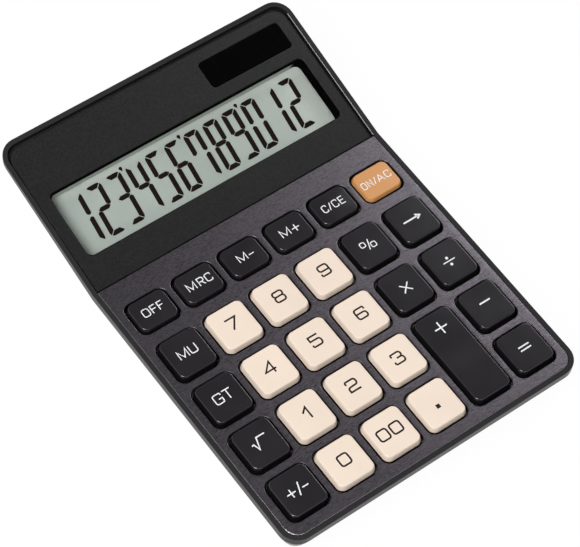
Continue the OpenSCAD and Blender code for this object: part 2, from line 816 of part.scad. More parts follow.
// The colours of a pair of wires.
wire_colours = [[0.7, 0.1, 0.1], [0.1, 0.1, 0.1]];

module solar_wires() {
    for (i = [0, 1]) {
        x = solar_wire_x[i];
        color(wire_colours[i]) wire([
            [x, solar_wire_y, solar_wire_z - ribbon_t], [x, solar_wire_y, wire_z],
            [x, wire_end_y, wire_z], [x, wire_end_y, board_h]
        ], wire_d);
    }
}

// The sheet under the keys, with a hollow dome under each plunger.
module rubber_mat() {
    mat_front = board_front + mat_inset;
    mat_back = behind_keys_y - post_d / 2 - mat_inset - root;
    dome_h = plunger_z - mat_top;
    post_hole_d = post_d + 2 * root;
    color([0.75, 0.76, 0.78]) difference() {
        union() {
            translate([0, (mat_front + mat_back) / 2, board_top]) linear_extrude(mat_t)
                rounded(board_w - 2 * mat_inset, mat_back - mat_front, board_r);
            for (k = KEYS, y = plunger_places(k))
                translate([column_x(k[1]), key_mid_y(k) + y, mat_top - eps])
                    cylinder(h = dome_h + eps, d1 = dome_d, d2 = dome_top_d);
        }
        for (k = KEYS, y = plunger_places(k))
            translate([column_x(k[1]), key_mid_y(k) + y, board_top - eps])
                cylinder(
                    h = dome_h + mat_t - dome_wall,
                    d1 = dome_d - 2 * dome_wall, d2 = dome_top_d - 2 * dome_wall
                );
        for (p = board_posts) translate([p[0], p[1], board_top - over])
            cylinder(h = mat_t + 2 * over, d = post_hole_d);
    }
}

module main_board() {
    color([0.55, 0.45, 0.22]) difference() {
        translate([0, (board_front + board_back) / 2, board_h]) linear_extrude(board_t)
            rounded(board_w, board_back - board_front, board_r);
        for (p = board_posts) translate([p[0], p[1], board_h - over])
            cylinder(h = board_t + 2 * over, d = board_screw_d + screw_gap);
    }
}

// The sealed chip, three capacitors and a crystal on the underside of the board.
module board_parts() {
    ball_r = (pow(chip_d / 2, 2) + pow(chip_h, 2)) / (2 * chip_h);
    capacitor = [1.6, 3.2, 1];
    crystal = [6, 2.4, 1.1];
    color([0.08, 0.08, 0.08]) translate([0, row_y(0), board_h]) mirror([0, 0, 1]) {
        rotate_extrude() intersection() {
            translate([0, chip_h - ball_r]) circle(ball_r, $fn = 360);
            square([chip_d / 2, chip_h]);
        }
        for (i = [0 : 2]) translate([chip_d / 2 + 7 + 4 * i, 0, capacitor[2] / 2])
            cube(capacitor, center = true);
        translate([-chip_d, 0, crystal[2] / 2]) cube(crystal, center = true);
    }
}

// A screw that points up, its head below the origin.
module screw(d, l, head_d, head_h) {
    cylinder(h = l, d = d);
    translate([0, 0, -head_h]) difference() {
        cylinder(h = head_h, d = head_d);
        for (a = [0, 90]) rotate([0, 0, a])
            cube([d, slot_w, head_h], center = true);
    }
}

module board_screws() {
    color([0.7, 0.7, 0.72]) for (p = board_posts) translate([p[0], p[1], board_h])
        screw(board_screw_d, board_screw_l, board_head_d, board_head_h);
}

module case_screws() {
    color([0.25, 0.25, 0.26]) for (p = case_screw_places)
        translate([p[0], p[1], p[2] - screw_seat])
            screw(screw_d, screw_l, screw_head_d, screw_head_h);
}

module rubber_feet() {
    color([0.1, 0.1, 0.1]) for (p = foot_places) translate([p[0], p[1], 0]) {
        translate([0, 0, foot_bevel]) cylinder(h = foot_h + foot_recess - foot_bevel, d = foot_d);
        cylinder(h = foot_bevel, d1 = foot_d - 2 * foot_bevel, d2 = foot_d);
    }
}

// The door turns about the outer edge of its front side; its tongues reach over
// the floor, and its latch stands at its back side.
module battery_door() {
    hinge_y = battery_y - door_l / 2;
    latch_y = battery_y + door_l / 2 - latch_inset - latch_t;
    color([0.20, 0.19, 0.20]) {
        difference() {
            translate([0, 0, foot_h]) linear_extrude(wall) door_outline(0);
            for (i = [1 : 3]) translate([battery_x, latch_y - 2 * i * grip_w, foot_h])
                cube([grip_l, grip_w, 2 * grip_depth], center = true);
        }
        for (side = [-1, 1]) translate([battery_x + side * door_w / 4, hinge_y, floor_z]) {
            translate([-tongue_w / 2, -tongue_l, play]) cube([tongue_w, tongue_l + 1, tongue_t]);
            translate([-tongue_w / 2, 0, -eps]) cube([tongue_w, 1, 2 * play]);
        }
        translate([battery_x - latch_w / 2, latch_y, floor_z - eps])
            cube([latch_w, latch_t, latch_h]);
    }
}

// The can of the cell, with its narrower lid on top.
module button_cell() {
    lid_h = 0.5;
    color([0.78, 0.78, 0.78]) translate([battery_x, battery_y, battery_z]) {
        cylinder(h = battery_t - lid_h, d = battery_d);
        cylinder(h = battery_t, d = battery_d - 3 * lid_h);
    }
}

// A strip that crosses the cell and lies on the ring at both sides.
module contact_top() {
    color([0.8, 0.75, 0.5]) translate([battery_x, battery_y, battery_top])
        translate([-battery_d / 2 - ring_t, -contact_w / 2, 0])
            cube([battery_d + 2 * ring_t + contact_w / 2, contact_w, contact_t]);
}

// A strip on the ring behind the cell, cut to the round of the cell.
module contact_side() {
    color([0.8, 0.75, 0.5]) translate([battery_x, battery_y, battery_top]) difference() {
        translate([-contact_w, 0, 0])
            cube([2 * contact_w, battery_d / 2 + ring_t + contact_w / 3, contact_t]);
        translate([0, 0, -over]) cylinder(h = contact_t + 2 * over, d = battery_d + battery_gap);
    }
}

// Wires from the two contacts, down beside the bridge and forward under the board.
module battery_wires() {
    top_z = battery_top + contact_t + wire_d / 2;
    beside_x = battery_x + door_w / 2 + door_gap + bridge_reach + wire_d;
    starts = [
        [battery_x, battery_y + battery_d / 2 + ring_t],
        [battery_x + battery_d / 2 + ring_t, battery_y]
    ];
    for (i = [0, 1]) {
        s = starts[i];
        x = beside_x + (1 - i) * wire_pitch;
        color(wire_colours[i]) wire([
            [s[0], s[1], top_z], [x, s[1], top_z], [x, s[1], wire_z],
            [x, wire_end_y, wire_z], [x, wire_end_y, board_h]
        ], wire_d);
    }
}

for (k = KEYS) key(k);
upper_case();
lower_case();
deck_plate();
display_panel();
display_pane();
display_glass();
glass_holder();
glass_ribbon();
solar_window();
solar_cell();
solar_wires();
rubber_mat();
main_board();
board_parts();
board_screws();
case_screws();
rubber_feet();
battery_door();
button_cell();
contact_side();
contact_top();
battery_wires();
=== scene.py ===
"""Desk calculator: key caps, legends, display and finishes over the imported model."""

import json
import logging
import math
from dataclasses import dataclass
from enum import Enum
from typing import Iterable, Sequence

import bmesh
import bpy
from mathutils import Matrix, Vector


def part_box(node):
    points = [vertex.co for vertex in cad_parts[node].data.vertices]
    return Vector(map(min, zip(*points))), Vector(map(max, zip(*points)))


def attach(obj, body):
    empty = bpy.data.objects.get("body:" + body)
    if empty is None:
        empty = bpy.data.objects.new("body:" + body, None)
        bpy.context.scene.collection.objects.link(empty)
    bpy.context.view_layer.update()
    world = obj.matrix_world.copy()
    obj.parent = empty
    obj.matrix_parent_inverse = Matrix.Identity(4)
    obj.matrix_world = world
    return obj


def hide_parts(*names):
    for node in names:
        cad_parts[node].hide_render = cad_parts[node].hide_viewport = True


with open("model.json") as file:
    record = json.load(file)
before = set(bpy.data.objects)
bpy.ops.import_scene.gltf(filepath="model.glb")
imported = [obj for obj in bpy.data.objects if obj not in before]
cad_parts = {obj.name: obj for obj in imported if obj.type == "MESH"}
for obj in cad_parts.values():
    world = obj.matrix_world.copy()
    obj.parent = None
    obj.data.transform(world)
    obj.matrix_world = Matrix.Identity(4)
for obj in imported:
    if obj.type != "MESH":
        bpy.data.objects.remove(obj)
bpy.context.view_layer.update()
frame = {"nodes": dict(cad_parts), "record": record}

LOG = logging.getLogger("calculator")
MM = 0.001

Point = tuple[float, ...]
Pair = tuple[float, float]
Colour = tuple[float, float, float]
Socket = bpy.types.NodeSocket
Material = bpy.types.Material
Piece = bpy.types.Object
Mesh = bmesh.types.BMesh
Row = Sequence[bmesh.types.BMVert]

# Leaves a piece where it was built.
HERE = Matrix()
# Points that are nearer than this, in metres, are one.
WELD = 1e-7


# ---------------------------------------------------------------- shader kit


class Value:
    """A number in a material that changes over the surface, used in plain expressions."""

    def __init__(self, nodes: "Nodes", socket: Socket) -> None:
        """Keeps the socket and the nodes that it belongs to."""
        self.nodes = nodes
        self.socket = socket

    def _math(self, operation: str, *terms: "Value | float") -> "Value":
        """The result of one Math node, from its operation and its inputs in order."""
        node = self.nodes.add("ShaderNodeMath", {"operation": operation}, dict(enumerate(terms)))
        return Value(self.nodes, node.outputs[0])

    def __add__(self, other: "Value | float") -> "Value":
        """self + other."""
        return self._math("ADD", self, other)

    def __radd__(self, other: float) -> "Value":
        """other + self."""
        return self._math("ADD", other, self)

    def __sub__(self, other: "Value | float") -> "Value":
        """self - other."""
        return self._math("SUBTRACT", self, other)

    def __rsub__(self, other: float) -> "Value":
        """other - self."""
        return self._math("SUBTRACT", other, self)

    def __mul__(self, other: "Value | float") -> "Value":
        """self * other."""
        return self._math("MULTIPLY", self, other)

    def __rmul__(self, other: float) -> "Value":
        """other * self."""
        return self._math("MULTIPLY", other, self)

    def over(self, edge: float) -> "Value":
        """1 where the value is above the edge, otherwise 0."""
        return self._math("GREATER_THAN", self, edge)

    def size(self) -> "Value":
        """The value without its sign."""
        return self._math("ABSOLUTE", self)

    def zigzag(self, reach: float) -> "Value":
        """The value folded to and fro between 0 and some reach."""
        return self._math("PINGPONG", self, reach)

    def spread(self, width: float) -> "Value":
        """A noise about 0.5 as one about 0, with some width."""
        return (self - 0.5) * width

    def ramp(self, low: float, high: float, start: float = 0.0, end: float = 1.0) -> "Value":
        """A smooth step of the value, from start below the low end to end above the high one."""
        inputs = {"Value": self, "From Min": low, "From Max": high, "To Min": start, "To Max": end}
        node = self.nodes.add("ShaderNodeMapRange", {"interpolation_type": "SMOOTHSTEP"}, inputs)
        return Value(self.nodes, node.outputs[0])


class Nodes:
    """A node tree, of a material or of the surroundings, that grows through one method."""

    def __init__(self, owner: Material | bpy.types.World) -> None:
        """Empties the owner's node tree.

        Args:
            owner: What the nodes belong to.
        """
        owner.use_nodes = True
        self.tree = owner.node_tree
        self.tree.nodes.clear()

    def add(self, kind: str, settings: dict | None = None, inputs: dict | None = None) -> bpy.types.Node:
        """Adds a node.

        Args:
            kind: The node's type.
            settings: The node's own properties, set first.
            inputs: Values or links for its sockets, by name or number.

        Returns:
            The node.
        """
        node = self.tree.nodes.new(kind)
        for key, setting in (settings or {}).items():
            setattr(node, key, setting)
        for key, given in (inputs or {}).items():
            self.feed(node.inputs[key], given)
        return node

    def feed(self, socket: Socket, given: object) -> None:
        """Links a source to a socket, or sets the socket's own constant.

        Args:
            socket: The socket.
            given: A value, a socket, a number, a vector or a colour.
        """
        source = given.socket if isinstance(given, Value) else given
        if isinstance(source, Socket):
            self.tree.links.new(source, socket)
        elif socket.type == "RGBA":
            socket.default_value = (*source, 1.0)
        else:
            socket.default_value = source

    def vector(self, operation: str, *terms: object) -> tuple[Socket, Value]:
        """The vector and the number that one Vector Math node gives."""
        node = self.add("ShaderNodeVectorMath", {"operation": operation}, dict(enumerate(terms)))
        return node.outputs[0], Value(self, node.outputs[1])

    def backdrop(self) -> tuple[Value, Value]:
        """1 for what the camera sees, itself or through glass, and 1 for what gloss shows."""
        path = self.add("ShaderNodeLightPath")
        rays = ("Is Camera Ray", "Is Glossy Ray", "Is Transmission Ray")
        straight, glossy, through = (Value(self, path.outputs[name]) for name in rays)
        return straight + through, glossy

    def axes(self, vector: Socket) -> tuple[Value, ...]:
        """The three parts of a vector."""
        parts = self.add("ShaderNodeSeparateXYZ", {}, {0: vector}).outputs
        return tuple(Value(self, part) for part in parts)


class Shader(Nodes):
    """A material under construction round one Principled shader."""

    def __init__(self, name: str) -> None:
        """Starts an empty material.

        Args:
            name: The material's name.
        """
        self.material = bpy.data.materials.new(name)
        super().__init__(self.material)
        self.surface = self.add("ShaderNodeBsdfPrincipled")
        self.output = self.add("ShaderNodeOutputMaterial", {}, {"Surface": self.surface.outputs[0]})

    def place(self) -> Socket:
        """The place on the piece, in metres."""
        return self.add("ShaderNodeTexCoord").outputs["Object"]

    def normal(self) -> Socket:
        """The way that the surface faces."""
        return self.add("ShaderNodeNewGeometry").outputs["Normal"]

    def upright(self) -> Value:
        """How far the surface faces up, from -1 to 1."""
        return self.axes(self.normal())[2]

    def noise(self, cells_per_metre: float, detail: float = 2.0, where: Socket | None = None) -> Value:
        """Smooth noise about 0.5, at the plain place unless another is given."""
        inputs = {"Vector": where or self.place(), "Scale": cells_per_metre, "Detail": detail}
        return Value(self, self.add("ShaderNodeTexNoise", {}, inputs).outputs[0])

    def streaks(self, cells: Point, detail: float) -> Value:
        """Noise with its own number of cells a metre along each axis."""
        where = self.add("ShaderNodeMapping", {}, {"Vector": self.place(), "Scale": cells}).outputs[0]
        return self.noise(1.0, detail, where)

    def mix(self, share: Value | float, first: Colour | Socket, second: Colour | Socket) -> Socket:
        """Two colours blended, by the share of the second."""
        return self.add("ShaderNodeMix", {"data_type": "RGBA"}, {0: share, 6: first, 7: second}).outputs[2]

    def vary(self, pattern: Value, ends: Pair, colour: Colour, dark: float, pale: float = 1.0) -> Socket:
        """A colour that a pattern turns, between its two ends, from a dark to a pale share of it."""
        return self.mix(pattern.ramp(*ends), shade(colour, dark), shade(colour, pale))

    def bump(self, height: Value, depth: float, strength: float = 1.0) -> Socket:
        """A height from 0 to 1 as relief of some depth in metres."""
        inputs = {"Strength": strength, "Distance": depth, "Height": height}
        return self.add("ShaderNodeBump", {}, inputs).outputs[0]

    def finish(self, **inputs: object) -> Material:
        """Sets the Principled sockets.

        Args:
            inputs: Socket names with _ for spaces, and their values or links.

        Returns:
            The material.
        """
        for name, given in inputs.items():
            self.feed(self.surface.inputs[name.replace("_", " ")], given)
        return self.material


def shade(colour: Colour, share: float, lift: float = 0.0) -> Colour:
    """A colour times some share, lifted a little."""
    return tuple(part * share + lift for part in colour)


# ------------------------------------------------------------------ finishes

# Where most patterns turn from their dark to their pale shade.
TURN: Pair = (0.3, 0.7)


@dataclass(frozen=True)
class Moulding:
    """A moulded plastic with a fine spark texture and faint mottling, whose walls can carry painted shade.
    """

    name: str
    colour: Colour
    roughness: float = 0.35
    grain: float = 9000.0
    relief: float = 0.01 * MM
    mottle: float = 0.06
    gloss: float = 0.5
    edge_coat: float = 0.0
    painted_wall_shade: float = 1.0
    top_roughness: float = 0.0
    lift: float = 0.002
    cloud: float = 60.0
    painted_wall_shade_ends: Pair = (0.15, 0.4)
    top_ends: Pair = (0.85, 0.97)
    edge_foot: Pair = (0.3, 0.5)
    edge_head: Pair = (0.93, 0.99)
    unevenness: float = 0.09
    coat_roughness: float = 0.04

    def build(self) -> Material:
        """The material of this moulding."""
        shader = Shader(self.name)
        grain = shader.noise(self.grain, 3.0)
        cloud = shader.noise(self.cloud, 3.0)
        up = shader.upright()
        dark, pale = shade(self.colour, 1 - self.mottle), shade(self.colour, 1 + self.mottle, self.lift)
        face = shader.mix(cloud.ramp(*TURN), dark, pale)
        top = up.ramp(*self.top_ends) * self.top_roughness
        # Painted shade: walls that face sideways take a darker share of the colour, set by the wall share.
        return shader.finish(
            Base_Color=shader.mix(up.ramp(*self.painted_wall_shade_ends), shade(self.colour, self.painted_wall_shade), face),
            Roughness=top + self.roughness + (cloud + grain - 1.0) * self.unevenness,
            Specular_IOR_Level=self.gloss,
            Coat_Weight=up.ramp(*self.edge_foot) * (1.0 - up.ramp(*self.edge_head)) * self.edge_coat,
            Coat_Roughness=self.coat_roughness,
            Normal=shader.bump(grain, self.relief),
        )


@dataclass(frozen=True)
class BrushedSheet:
    """A dark anodised sheet, brushed along the rows, with a brighter cut edge."""

    name: str = "brushed_deck"
    colour: Colour = (0.115, 0.104, 0.12)
    edge: Colour = (0.62, 0.6, 0.62)
    roughness: float = 0.3
    border: float = 0.7 * MM
    brushing: Point = (800.0, 7500.0, 7500.0)
    specks: float = 5200.0
    brushed_share: float = 0.66
    shade_ends: Pair = (0.32, 0.68)
    shades: Pair = (0.62, 1.45)
    bevel_ends: Pair = (0.82, 0.97)
    cloud: float = 45.0

    def near_border(self, shader: Shader) -> Value:
        """1 on the plate's outer border, 0 elsewhere, its own openings included.

        Args:
            shader: The plate's material.

        Returns:
            The mask.
        """
        low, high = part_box("deck_plate")
        radius = Layout.corner - Layout.rim
        size = shader.vector("ABSOLUTE", shader.place())[0]
        past = shader.vector("SUBTRACT", size, (high.x - radius, -low.y - radius, 1.0))[0]
        kept = shader.vector("MAXIMUM", past, (0.0, 0.0, 0.0))[0]
        return shader.vector("LENGTH", kept)[1].over(radius - self.border)

    def build(self) -> Material:
        """The material of the deck plate."""
        shader = Shader(self.name)
        lines, specks = shader.streaks(self.brushing, 4.0), shader.noise(self.specks)
        grain = lines * self.brushed_share + specks * (1 - self.brushed_share)
        face = shader.vary(grain, self.shade_ends, self.colour, *self.shades)
        bevel = 1.0 - shader.upright().ramp(*self.bevel_ends)
        return shader.finish(
            Base_Color=shader.mix(bevel * self.near_border(shader), face, self.edge),
            Metallic=0.82,
            Roughness=self.roughness + grain.spread(0.3) + shader.noise(self.cloud).spread(0.06),
            Normal=shader.bump(grain, 0.02 * MM, 0.6),
        )


@dataclass(frozen=True)
class TexturedPanel:
    """The matt, finely grained face of the display panel."""

    name: str = "textured_panel"
    colour: Colour = (0.0056, 0.0058, 0.0057)
    roughness: float = 0.42
    coarse: float = 1900.0
    fine: float = 6000.0
    coarse_share: float = 0.65
    shade_ends: Pair = (0.38, 0.66)
    shades: Pair = (0.3, 2.3)

    def build(self) -> Material:
        """The material of the display panel."""
        shader = Shader(self.name)
        coarse, fine = shader.noise(self.coarse, 4.0), shader.noise(self.fine)
        tone = coarse * self.coarse_share + fine * (1 - self.coarse_share)
        return shader.finish(
            Base_Color=shader.vary(tone, self.shade_ends, self.colour, *self.shades),
            Roughness=self.roughness + tone.spread(0.25),
            Specular_IOR_Level=0.4,
            Normal=shader.bump(tone, 0.05 * MM, 0.7),
        )


@dataclass(frozen=True)
class Print:
    """A printed ink, very slightly uneven where it lies on the cap."""

    name: str
    colour: Colour
    roughness: float = 0.45
    gloss: float = 0.4
    patches: float = 2200.0
    shade_ends: Pair = (0.3, 0.6)
    thin: float = 0.9

    def build(self) -> Material:
        """The material of this ink."""
        shader = Shader(self.name)
        patch = shader.noise(self.patches, 3.0)
        return shader.finish(
            Base_Color=shader.vary(patch, self.shade_ends, self.colour, self.thin),
            Roughness=self.roughness + patch.spread(0.15),
            Specular_IOR_Level=self.gloss,
            Normal=shader.bump(patch, 0.004 * MM),
        )


@dataclass(frozen=True)
class DisplayGlass:
    """The grey-green field of the display, with painted light: paler along both sides, towards its back
    edge and towards its right end, where the well shades it.
    """

    name: str = "display_field"
    colour: Colour = (0.395, 0.445, 0.405)
    # The paler colour that paints light on the field's sides and its far part.
    rim: Colour = (0.6, 0.65, 0.6)
    side_painted_light_width: float = 1.5 * MM
    side_painted_light_share: float = 0.5
    field_reach: float = 39.3 * MM
    far_painted_light_width: float = 5.0 * MM
    far_painted_light_share: float = 0.7
    cloud: float = 40.0
    cloud_shades: Pair = (0.96, 1.04)
    roughness: float = 0.38
    grain: float = 6000.0

    def build(self) -> Material:
        """The material of the display's field."""
        shader = Shader(self.name)
        across, along, _ = shader.axes(shader.place())
        half_width = DisplayUnit.window[0] / 2
        # Painted light: the field turns paler along both sides, towards its back edge and towards its right
        # end.
        side = across.size().ramp(half_width - self.side_painted_light_width, half_width)
        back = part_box("deck_plate")[1].y + self.field_reach
        far_painted_light = along.ramp(back - self.far_painted_light_width, back) + across.ramp(half_width / 2, half_width)
        field = shader.vary(shader.noise(self.cloud), TURN, self.colour, *self.cloud_shades)
        field = shader.mix(far_painted_light * self.far_painted_light_share, field, self.rim)
        return shader.finish(
            Base_Color=shader.mix(side * self.side_painted_light_share, field, self.rim),
            Roughness=self.roughness + shader.noise(self.grain).spread(0.1),
            Specular_IOR_Level=0.35,
        )


@dataclass(frozen=True)
class WellWall:
    """The well's matt black wall, with a painted reflection: the low part of its back side is coloured like
    the pale field under it.
    """

    name: str = "well_wall"
    black: Colour = (0.0006, 0.0006, 0.0006)
    # The painted reflection of the pale field, laid on the back wall's low part.
    glow: Colour = (0.43, 0.48, 0.43)
    painted_reflection_fade: Pair = (3.0 * MM, 3.8 * MM)
    run_out: float = 5.0 * MM
    facing: Pair = (0.97, 1.0)
    roughness: float = 0.85
    grain: float = 3000.0

    def build(self) -> Material:
        """The material of the well's wall."""
        shader = Shader(self.name)
        slope = Layout().on_slope()
        up, back = slope.col[2].to_3d(), slope.col[1].to_3d()
        base = up.dot(slope.translation) - DisplayUnit.recess - DisplayUnit.depth
        rise = shader.vector("DOT_PRODUCT", shader.place(), up)[1]
        # Painted reflection: low on the back side, away from the right end, the wall turns from black to
        # the field's tone.
        low = rise.ramp(base + self.painted_reflection_fade[0], base + self.painted_reflection_fade[1], 1.0, 0.0)
        faces_front = shader.vector("DOT_PRODUCT", shader.normal(), -back)[1].ramp(*self.facing)
        end = DisplayUnit.window[0] / 2
        across = shader.axes(shader.place())[0]
        inside = across.ramp(end - self.run_out, end - DisplayUnit.window_corner, 1.0, 0.0)
        grain = shader.noise(self.grain)
        return shader.finish(
            Base_Color=shader.mix(low * faces_front * inside, self.black, self.glow),
            Roughness=self.roughness + grain.spread(0.1),
            Specular_IOR_Level=0.02,
            Normal=shader.bump(grain, 0.006 * MM),
        )


@dataclass(frozen=True)
class ClearPane:
    """A clear polished plastic pane."""

    name: str = "clear_pane"
    colour: Colour = (0.02, 0.025, 0.022)
    haze: float = 300.0

    def build(self) -> Material:
        """The material of the pane."""
        shader = Shader(self.name)
        haze = shader.noise(self.haze)
        return shader.finish(Base_Color=self.colour, Roughness=0.06 + haze * 0.05, Alpha=0.02 + haze * 0.02)


@dataclass(frozen=True)
class SolarFace:
    """The polished black face over the solar cell, with faint cell strips."""

    name: str = "solar_face"
    colour: Colour = (0.0008, 0.0008, 0.001)
    line: Colour = (0.0022, 0.002, 0.0024)
    line_width: float = 0.25 * MM
    strip: float = 8.4 * MM
    haze: float = 220.0

    def build(self) -> Material:
        """The material of the solar window."""
        shader = Shader(self.name)
        across = shader.axes(shader.place())[0]
        line = 1.0 - across.zigzag(self.strip / 2).ramp(0.0, self.line_width)
        return shader.finish(
            Base_Color=shader.mix(line, self.colour, self.line),
            Roughness=0.12 + shader.noise(self.haze) * 0.08,
            Specular_IOR_Level=0.12,
        )


@dataclass(frozen=True)
class Metal:
    """A plated or rolled metal with fine scratches."""

    name: str
    colour: Colour
    roughness: float = 0.3
    scratches: Point = (1500.0, 12000.0, 6000.0)
    shade_ends: Pair = (0.35, 0.65)
    dark: float = 0.75

    def build(self) -> Material:
        """The material of this metal."""
        shader = Shader(self.name)
        scratch = shader.streaks(self.scratches, 3.0)
        return shader.finish(
            Base_Color=shader.vary(scratch, self.shade_ends, self.colour, self.dark),
            Metallic=1.0,
            Roughness=self.roughness + scratch.spread(0.2),
            Normal=shader.bump(scratch, 0.005 * MM),
        )


@dataclass(frozen=True)
class Laminate:
    """The fibrous board, with copper tracks showing faintly through its lacquer."""

    name: str = "board_laminate"
    colour: Colour = (0.23, 0.15, 0.05)
    track: Colour = (0.12, 0.16, 0.05)
    fibres: Point = (400.0, 2600.0, 2600.0)
    dark: float = 0.8
    track_scale: float = 90.0
    track_edge: float = 0.72
    track_share: float = 0.6

    def build(self) -> Material:
        """The material of the main board."""
        shader = Shader(self.name)
        fibre = shader.streaks(self.fibres, 4.0)
        wave = shader.add(
            "ShaderNodeTexWave",
            {"wave_type": "BANDS", "bands_direction": "DIAGONAL"},
            {"Vector": shader.place(), "Scale": self.track_scale, "Distortion": 3.0, "Detail": 1.0},
        )
        tracks = Value(shader, wave.outputs["Fac"]).over(self.track_edge)
        base = shader.vary(fibre, TURN, self.colour, self.dark)
        return shader.finish(
            Base_Color=shader.mix(tracks * self.track_share, base, self.track),
            Roughness=0.35 + fibre.spread(0.2),
            Normal=shader.bump(tracks * 0.5 + fibre * 0.5, 0.02 * MM),
        )


class Finish(Enum):
    """Every finish on the calculator."""

    CASE = Moulding(
        "case_plastic", (0.0158, 0.0148, 0.0162), 0.24, 7000.0, 0.005 * MM, gloss=0.21, top_roughness=0.4
    )
    BASE = Moulding("base_plastic", (0.017, 0.0165, 0.0175), 0.5, 5200.0, 0.03 * MM)
    DECK = BrushedSheet()
    PANEL = TexturedPanel()
    KEY_CREAM = Moulding(
        "key_cream_plastic", (0.79, 0.66, 0.55), 0.42, 6000.0, 0.003 * MM, 0.02, edge_coat=0.4
    )
    KEY_ORANGE = Moulding(
        "key_orange_plastic", (0.58, 0.268, 0.09), 0.38, 6000.0, 0.003 * MM, 0.03, edge_coat=0.8
    )
    # The black keys' walls carry painted shade: their colour is cut to 0.3 of the tops'.
    KEY_BLACK = Moulding(
        "key_black_plastic", (0.018, 0.0165, 0.019), 0.17, 8000.0, 0.003 * MM, gloss=0.3, edge_coat=1.0,
        painted_wall_shade=0.3,
    )
    WHITE_INK = Print("white_ink", (0.82, 0.82, 0.83))
    BROWN_INK = Print("brown_ink", (0.013, 0.008, 0.0075), 0.5, 0.2)
    DISPLAY = DisplayGlass()
    SEGMENT = Print("segment_ink", (0.01, 0.0045, 0.0035), 0.6, 0.08)
    PANE = ClearPane()
    SOLAR = SolarFace()
    # The black of the keys' hidden carrier parts, also used as painted shade on each cap's skirt below the
    # deck.
    CARRIER = Moulding("key_carrier_and_gap_shade", (0.003, 0.003, 0.003), 0.7, 4000.0, 0.006 * MM, gloss=0.2)
    CELL = Moulding("cell_film", (0.02, 0.008, 0.012), 0.25, 3000.0, 0.004 * MM)
    STEEL = Metal("plated_steel", (0.62, 0.62, 0.64))
    DARK_STEEL = Metal("blackened_steel", (0.09, 0.09, 0.1), 0.4)
    CONTACT = Metal("plated_contact", (0.72, 0.66, 0.46), 0.28)
    # A pale strip that paints the highlight on the right rim's inner edge.
    RIM_LINE = Print("painted_rim_highlight", (0.36, 0.35, 0.36), 0.35)
    BOARD = Laminate()
    WELL = WellWall()
    EPOXY = Moulding("epoxy", (0.012, 0.012, 0.013), 0.2, 900.0, 0.02 * MM)
    WHITE = Moulding("white_moulding", (0.72, 0.72, 0.69), 0.45)
    FILM = Moulding("ribbon_film", (0.5, 0.24, 0.05), 0.25, 2000.0, 0.003 * MM)
    MAT = Moulding("silicone_mat", (0.42, 0.43, 0.45), 0.6, 4000.0)
    FOOT = Moulding("foot_rubber", (0.018, 0.018, 0.018), 0.75, 3800.0, 0.04 * MM)
    BLACK_WIRE = Moulding("black_wire", (0.015, 0.015, 0.015), 0.35, 3000.0, 0.003 * MM)

    def material(self) -> Material:
        """This finish's material, built the first time that it is asked for."""
        return bpy.data.materials.get(self.value.name) or self.value.build()


# ------------------------------------------------------------------ mesh kit


def arc(middle: Point, radius: float, start: float, end: float, steps: int) -> list[Point]:
    """The points that end the stretches of an arc, from one angle in degrees to another."""
    turns = [math.radians(start + (end - start) * i / steps) for i in range(steps + 1)]
    return [(middle[0] + radius * math.cos(t), middle[1] + radius * math.sin(t)) for t in turns]


def rounded(width: float, length: float, radius: float, steps: int = 8) -> list[Point]:
    """The outline of a rectangle about the origin with round corners.

    Args:
        width: Its size along X.
        length: Its size along Y.
        radius: The corner radius.
        steps: Stretches in each corner.

    Returns:
        The outline, anticlockwise.
    """
    x, y = width / 2 - radius, length / 2 - radius
    places = ((x, -y, -90), (x, y, 0), (-x, y, 90), (-x, -y, 180))
    return [p for px, py, turn in places for p in arc((px, py), radius, turn, turn + 90, steps)]


def moved(outline: Sequence[Point], x: float, y: float) -> list[Point]:
    """An outline moved along X and Y."""
    return [(px + x, py + y) for px, py in outline]


def mirrored(outline: Sequence[Point]) -> list[Point]:
    """An outline with its left and right sides swapped."""
    return [(-x, y) for x, y in outline]


def round_path(points: Sequence[Point], radius: float, closed: bool = False, steps: int = 5) -> list[Point]:
    """Rounds the turns of a path.

    Args:
        points: The path, each point as x, y and, where it differs, its own radius.
        radius: The radius of the turns.
        closed: Whether the last point joins the first.
        steps: Stretches in each turn.

    Returns:
        The path with arcs in its turns.
    """
    most = 0.49  # a turn takes less than half of the stretches beside it
    count = len(points)
    path: list[Point] = []
    for i, point in enumerate(points):
        here = Vector(point[:2])
        bend = point[2] if len(point) > 2 else radius
        if bend <= 0 or (not closed and i in (0, count - 1)):
            path.append(tuple(here))
            continue
        back = Vector(points[i - 1][:2]) - here
        ahead = Vector(points[(i + 1) % count][:2]) - here
        reach = min(bend / math.tan(back.angle(ahead) / 2), most * back.length, most * ahead.length)
        first, last = here + back.normalized() * reach, here + ahead.normalized() * reach
        for k in range(steps + 1):
            t = k / steps
            path.append(tuple(first * (1 - t) ** 2 + here * 2 * t * (1 - t) + last * t ** 2))
    return path


def rows_of(mesh: Mesh, rings: Sequence[Sequence[Point]]) -> list[Row]:
    """Adds the points of each ring, given as x, y, z."""
    return [[mesh.verts.new(p) for p in ring] for ring in rings]


def skin(mesh: Mesh, rows: Sequence[Row]) -> None:
    """Joins each row of points to the next with faces.

    Args:
        mesh: The mesh that is added to.
        rows: Rows of equal length, each closed on itself.
    """
    for low, high in zip(rows, rows[1:]):
        for i in range(len(low)):
            j = (i + 1) % len(low)
            mesh.faces.new((low[i], low[j], high[j], high[i]))


